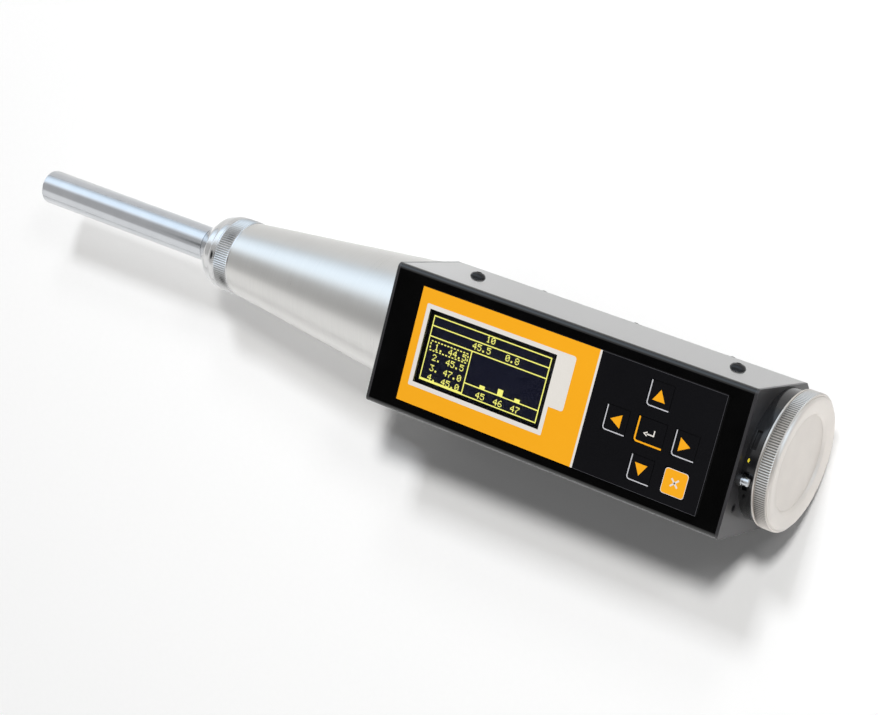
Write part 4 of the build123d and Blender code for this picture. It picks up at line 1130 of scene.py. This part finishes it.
bush = piece("pin_bush", spun([
    (bush_low.x, pin_r + 0.08),
    (bush_high.x, pin_r + 0.08),
    (bush_high.x, bush_r - 0.15),
    (bush_high.x - 0.15, bush_r),
    (bush_low.x, bush_r)], steps=48, centre=pin_place), moulded_finish, "housing")
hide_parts("button_bush")
dress(steel_finish, "power_switch")


# Photo table: a sheet of white paper under the object, lit by soft boxes above and beyond it.
# Metal and gloss mirror the studio instead: dark above the face, a window beyond, pale all
# round. As in the photograph, the cone and the plunger hardly shade the paper.
TABLE_HALF = 6.0
PAPER_SHARE = 0.015


def table_paper(place):
    fibre = grain(place, 2.5, detail=6.0)
    lit = place.node("ShaderNodeBsdfDiffuse", {
        "Color": blend_tints(fibre, tint(249, 249, 249), tint(252, 252, 252)),
        "Roughness": 0.4})
    bright = place.node("ShaderNodeEmission", {"Color": tint(255, 255, 255), "Strength": 1.0})
    ray = place.node("ShaderNodeLightPath", {}, output="Is Camera Ray")
    mirror = place.node("ShaderNodeLightPath", {}, output="Is Glossy Ray")
    glass = place.node("ShaderNodeLightPath", {}, output="Is Transmission Ray")
    seen = ray.sum("MAXIMUM", ray, mirror.sum("MAXIMUM", mirror, glass))
    return lit.node("ShaderNodeMixShader", {"Fac": seen * PAPER_SHARE, 1: lit, 2: bright})


table_shape = bmesh.new()
bmesh.ops.create_grid(table_shape, x_segments=1, y_segments=1, size=TABLE_HALF)
table_mesh = bpy.data.meshes.new("table")
table_shape.to_mesh(table_mesh)
table_shape.free()
table_mesh.materials.append(finish("table_paper", table_paper))
table = bpy.data.objects.new("table", table_mesh)
bpy.context.collection.objects.link(table)

AMBIENT = 0.15
STUDIO_START = 1.05
STUDIO = ((-46, -33, 0.58), (10, 40, 1.7), (54, 88, 0.94), (90, 120, 0.88))
DARK_CEILING = Vector((-0.445, -0.2, 0.873)).normalized()
CEILING_OPENS = (14, 8)
CEILING_LEVEL = 0.01
WINDOW_COLOUR = tint(228, 242, 255)
WINDOW_STARTS = (12.0, 40.0)
WINDOW_ENDS = (75.0, 100.0)


def studio_level(turn):
    """Brightness round the hammer's axis, in degrees from overhead towards the far side."""
    level = STUDIO_START
    total = STUDIO_START
    for low, high, target in STUDIO:
        total = total + turn.node("ShaderNodeMapRange", {
            "Value": turn, "From Min": low, "From Max": high, "To Min": 0.0, "To Max": target - level},
            interpolation_type="SMOOTHSTEP")
        level = target
    return total


surround = bpy.data.worlds.new("surround")
surround.use_nodes = True
surround.node_tree.nodes.clear()
sky = Wire(surround.node_tree.nodes.new("ShaderNodeTexCoord").outputs["Generated"])
aside = sky.node("ShaderNodeSeparateXYZ", {"Vector": sky}, output="Y")
above = sky.node("ShaderNodeSeparateXYZ", {"Vector": sky}, output="Z")
bearing = sky.sum("ARCTAN2", aside, above) * (180 / math.pi)
towards = sky.node("ShaderNodeVectorMath", {0: sky, 1: DARK_CEILING}, output="Value", operation="DOT_PRODUCT")
edges = [math.cos(math.radians(angle)) for angle in CEILING_OPENS]
opened = towards.node("ShaderNodeMapRange", {
    "Value": towards, "From Min": edges[0], "From Max": edges[1], "To Min": 1.0, "To Max": CEILING_LEVEL},
    interpolation_type="SMOOTHSTEP")
mirrored = studio_level(bearing) * opened
from_window, past_window = [
    bearing.node("ShaderNodeMapRange", {"Value": bearing, "From Min": start, "From Max": end})
    for start, end in (WINDOW_STARTS, WINDOW_ENDS)]
camera_ray = sky.node("ShaderNodeLightPath", {}, output="Is Camera Ray")
glass_ray = sky.node("ShaderNodeLightPath", {}, output="Is Transmission Ray")
mirror_ray = sky.node("ShaderNodeLightPath", {}, output="Is Glossy Ray")
plain = camera_ray.sum("MAXIMUM", camera_ray, glass_ray)
strength = plain + (1 - plain) * (mirror_ray * mirrored + (1 - mirror_ray) * AMBIENT)
window_share = mirror_ray * from_window * (1 - past_window)
backdrop = sky.node("ShaderNodeBackground", {
    "Color": blend_tints(window_share, tint(255, 255, 255), WINDOW_COLOUR), "Strength": strength})
backdrop.node("ShaderNodeOutputWorld", {"Surface": backdrop})
bpy.context.scene.world = surround


LAMP_DISTANCE = 2.6
HIGH_PLACE = (0.30, 0.50, 0.833)
HIGH_SIZE = 0.30
HIGH_COLOUR = tint(255, 254, 252)


def soft_box(name, place, size, level, colour):
    """Area lamp in a direction from the object, giving a share of full white on what faces it."""
    lamp = bpy.data.lights.new(name, "AREA")
    lamp.shape = "SQUARE"
    lamp.size = size
    lamp.energy = level * math.pi**2 * LAMP_DISTANCE**2
    lamp.color = colour[:3]
    made = bpy.data.objects.new(name, lamp)
    made.location = Vector(place).normalized() * LAMP_DISTANCE
    made.rotation_euler = Vector(place).to_track_quat("Z", "Y").to_euler()
    made.visible_glossy = False
    bpy.context.collection.objects.link(made)
    return made


def pass_light(lamp, parts):
    """Let a lamp's light through some parts, so that they cast no shadow from it."""
    blockers = bpy.data.collections.new(lamp.name + "_blockers")
    lamp.light_linking.blocker_collection = blockers
    for part in parts:
        blockers.objects.link(part)
    for entry in blockers.collection_objects:
        entry.light_linking.link_state = "EXCLUDE"


soft_box("far_soft_box", (0.0, 0.66, 0.751), 0.34, 0.35, tint(250, 252, 255))
soft_box("low_soft_box", (0.1, 0.80, 0.59), 0.40, 0.085, tint(255, 255, 255))
soft_box("right_soft_box", (0.53, 0.545, 0.65), 0.40, 0.08, tint(255, 255, 255))
inner_parts = [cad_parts[node] for node in
               ("felt_seal", "split_ring", "guide_sleeve", "body_tube", "guide_bar", "hammer_mass")]
thin_parts = [impact_plunger, nose_cap]
round_parts = thin_parts + [front_casing, impact_spring, retaining_spring] + inner_parts
pass_light(soft_box("high_soft_box", HIGH_PLACE, HIGH_SIZE, 0.36, HIGH_COLOUR), round_parts)
pass_light(soft_box("high_soft_box_fill", HIGH_PLACE, HIGH_SIZE, 0.26, HIGH_COLOUR), thin_parts)


# Camera: it looks down on the display from behind the end cap, at the photograph's angle.
CAMERA_PLACE = Vector((0.35063, 0.15888, 0.74596))
CAMERA_RIGHT = Vector((0.81258, 0.23992, -0.53118))
CAMERA_UP = Vector((-0.30808, 0.95043, -0.04201))
lens = bpy.data.cameras.new("camera")
lens.sensor_width = 36.0
lens.lens = 86.105
camera = bpy.data.objects.new("camera", lens)
backwards = CAMERA_RIGHT.cross(CAMERA_UP).normalized()
upright = backwards.cross(CAMERA_RIGHT).normalized()
facing = Matrix((CAMERA_RIGHT.normalized(), upright, backwards)).transposed()
camera.matrix_world = Matrix.Translation(CAMERA_PLACE) @ facing.to_4x4()
bpy.context.collection.objects.link(camera)
bpy.context.scene.camera = camera
bpy.context.scene.view_settings.view_transform = "Standard"
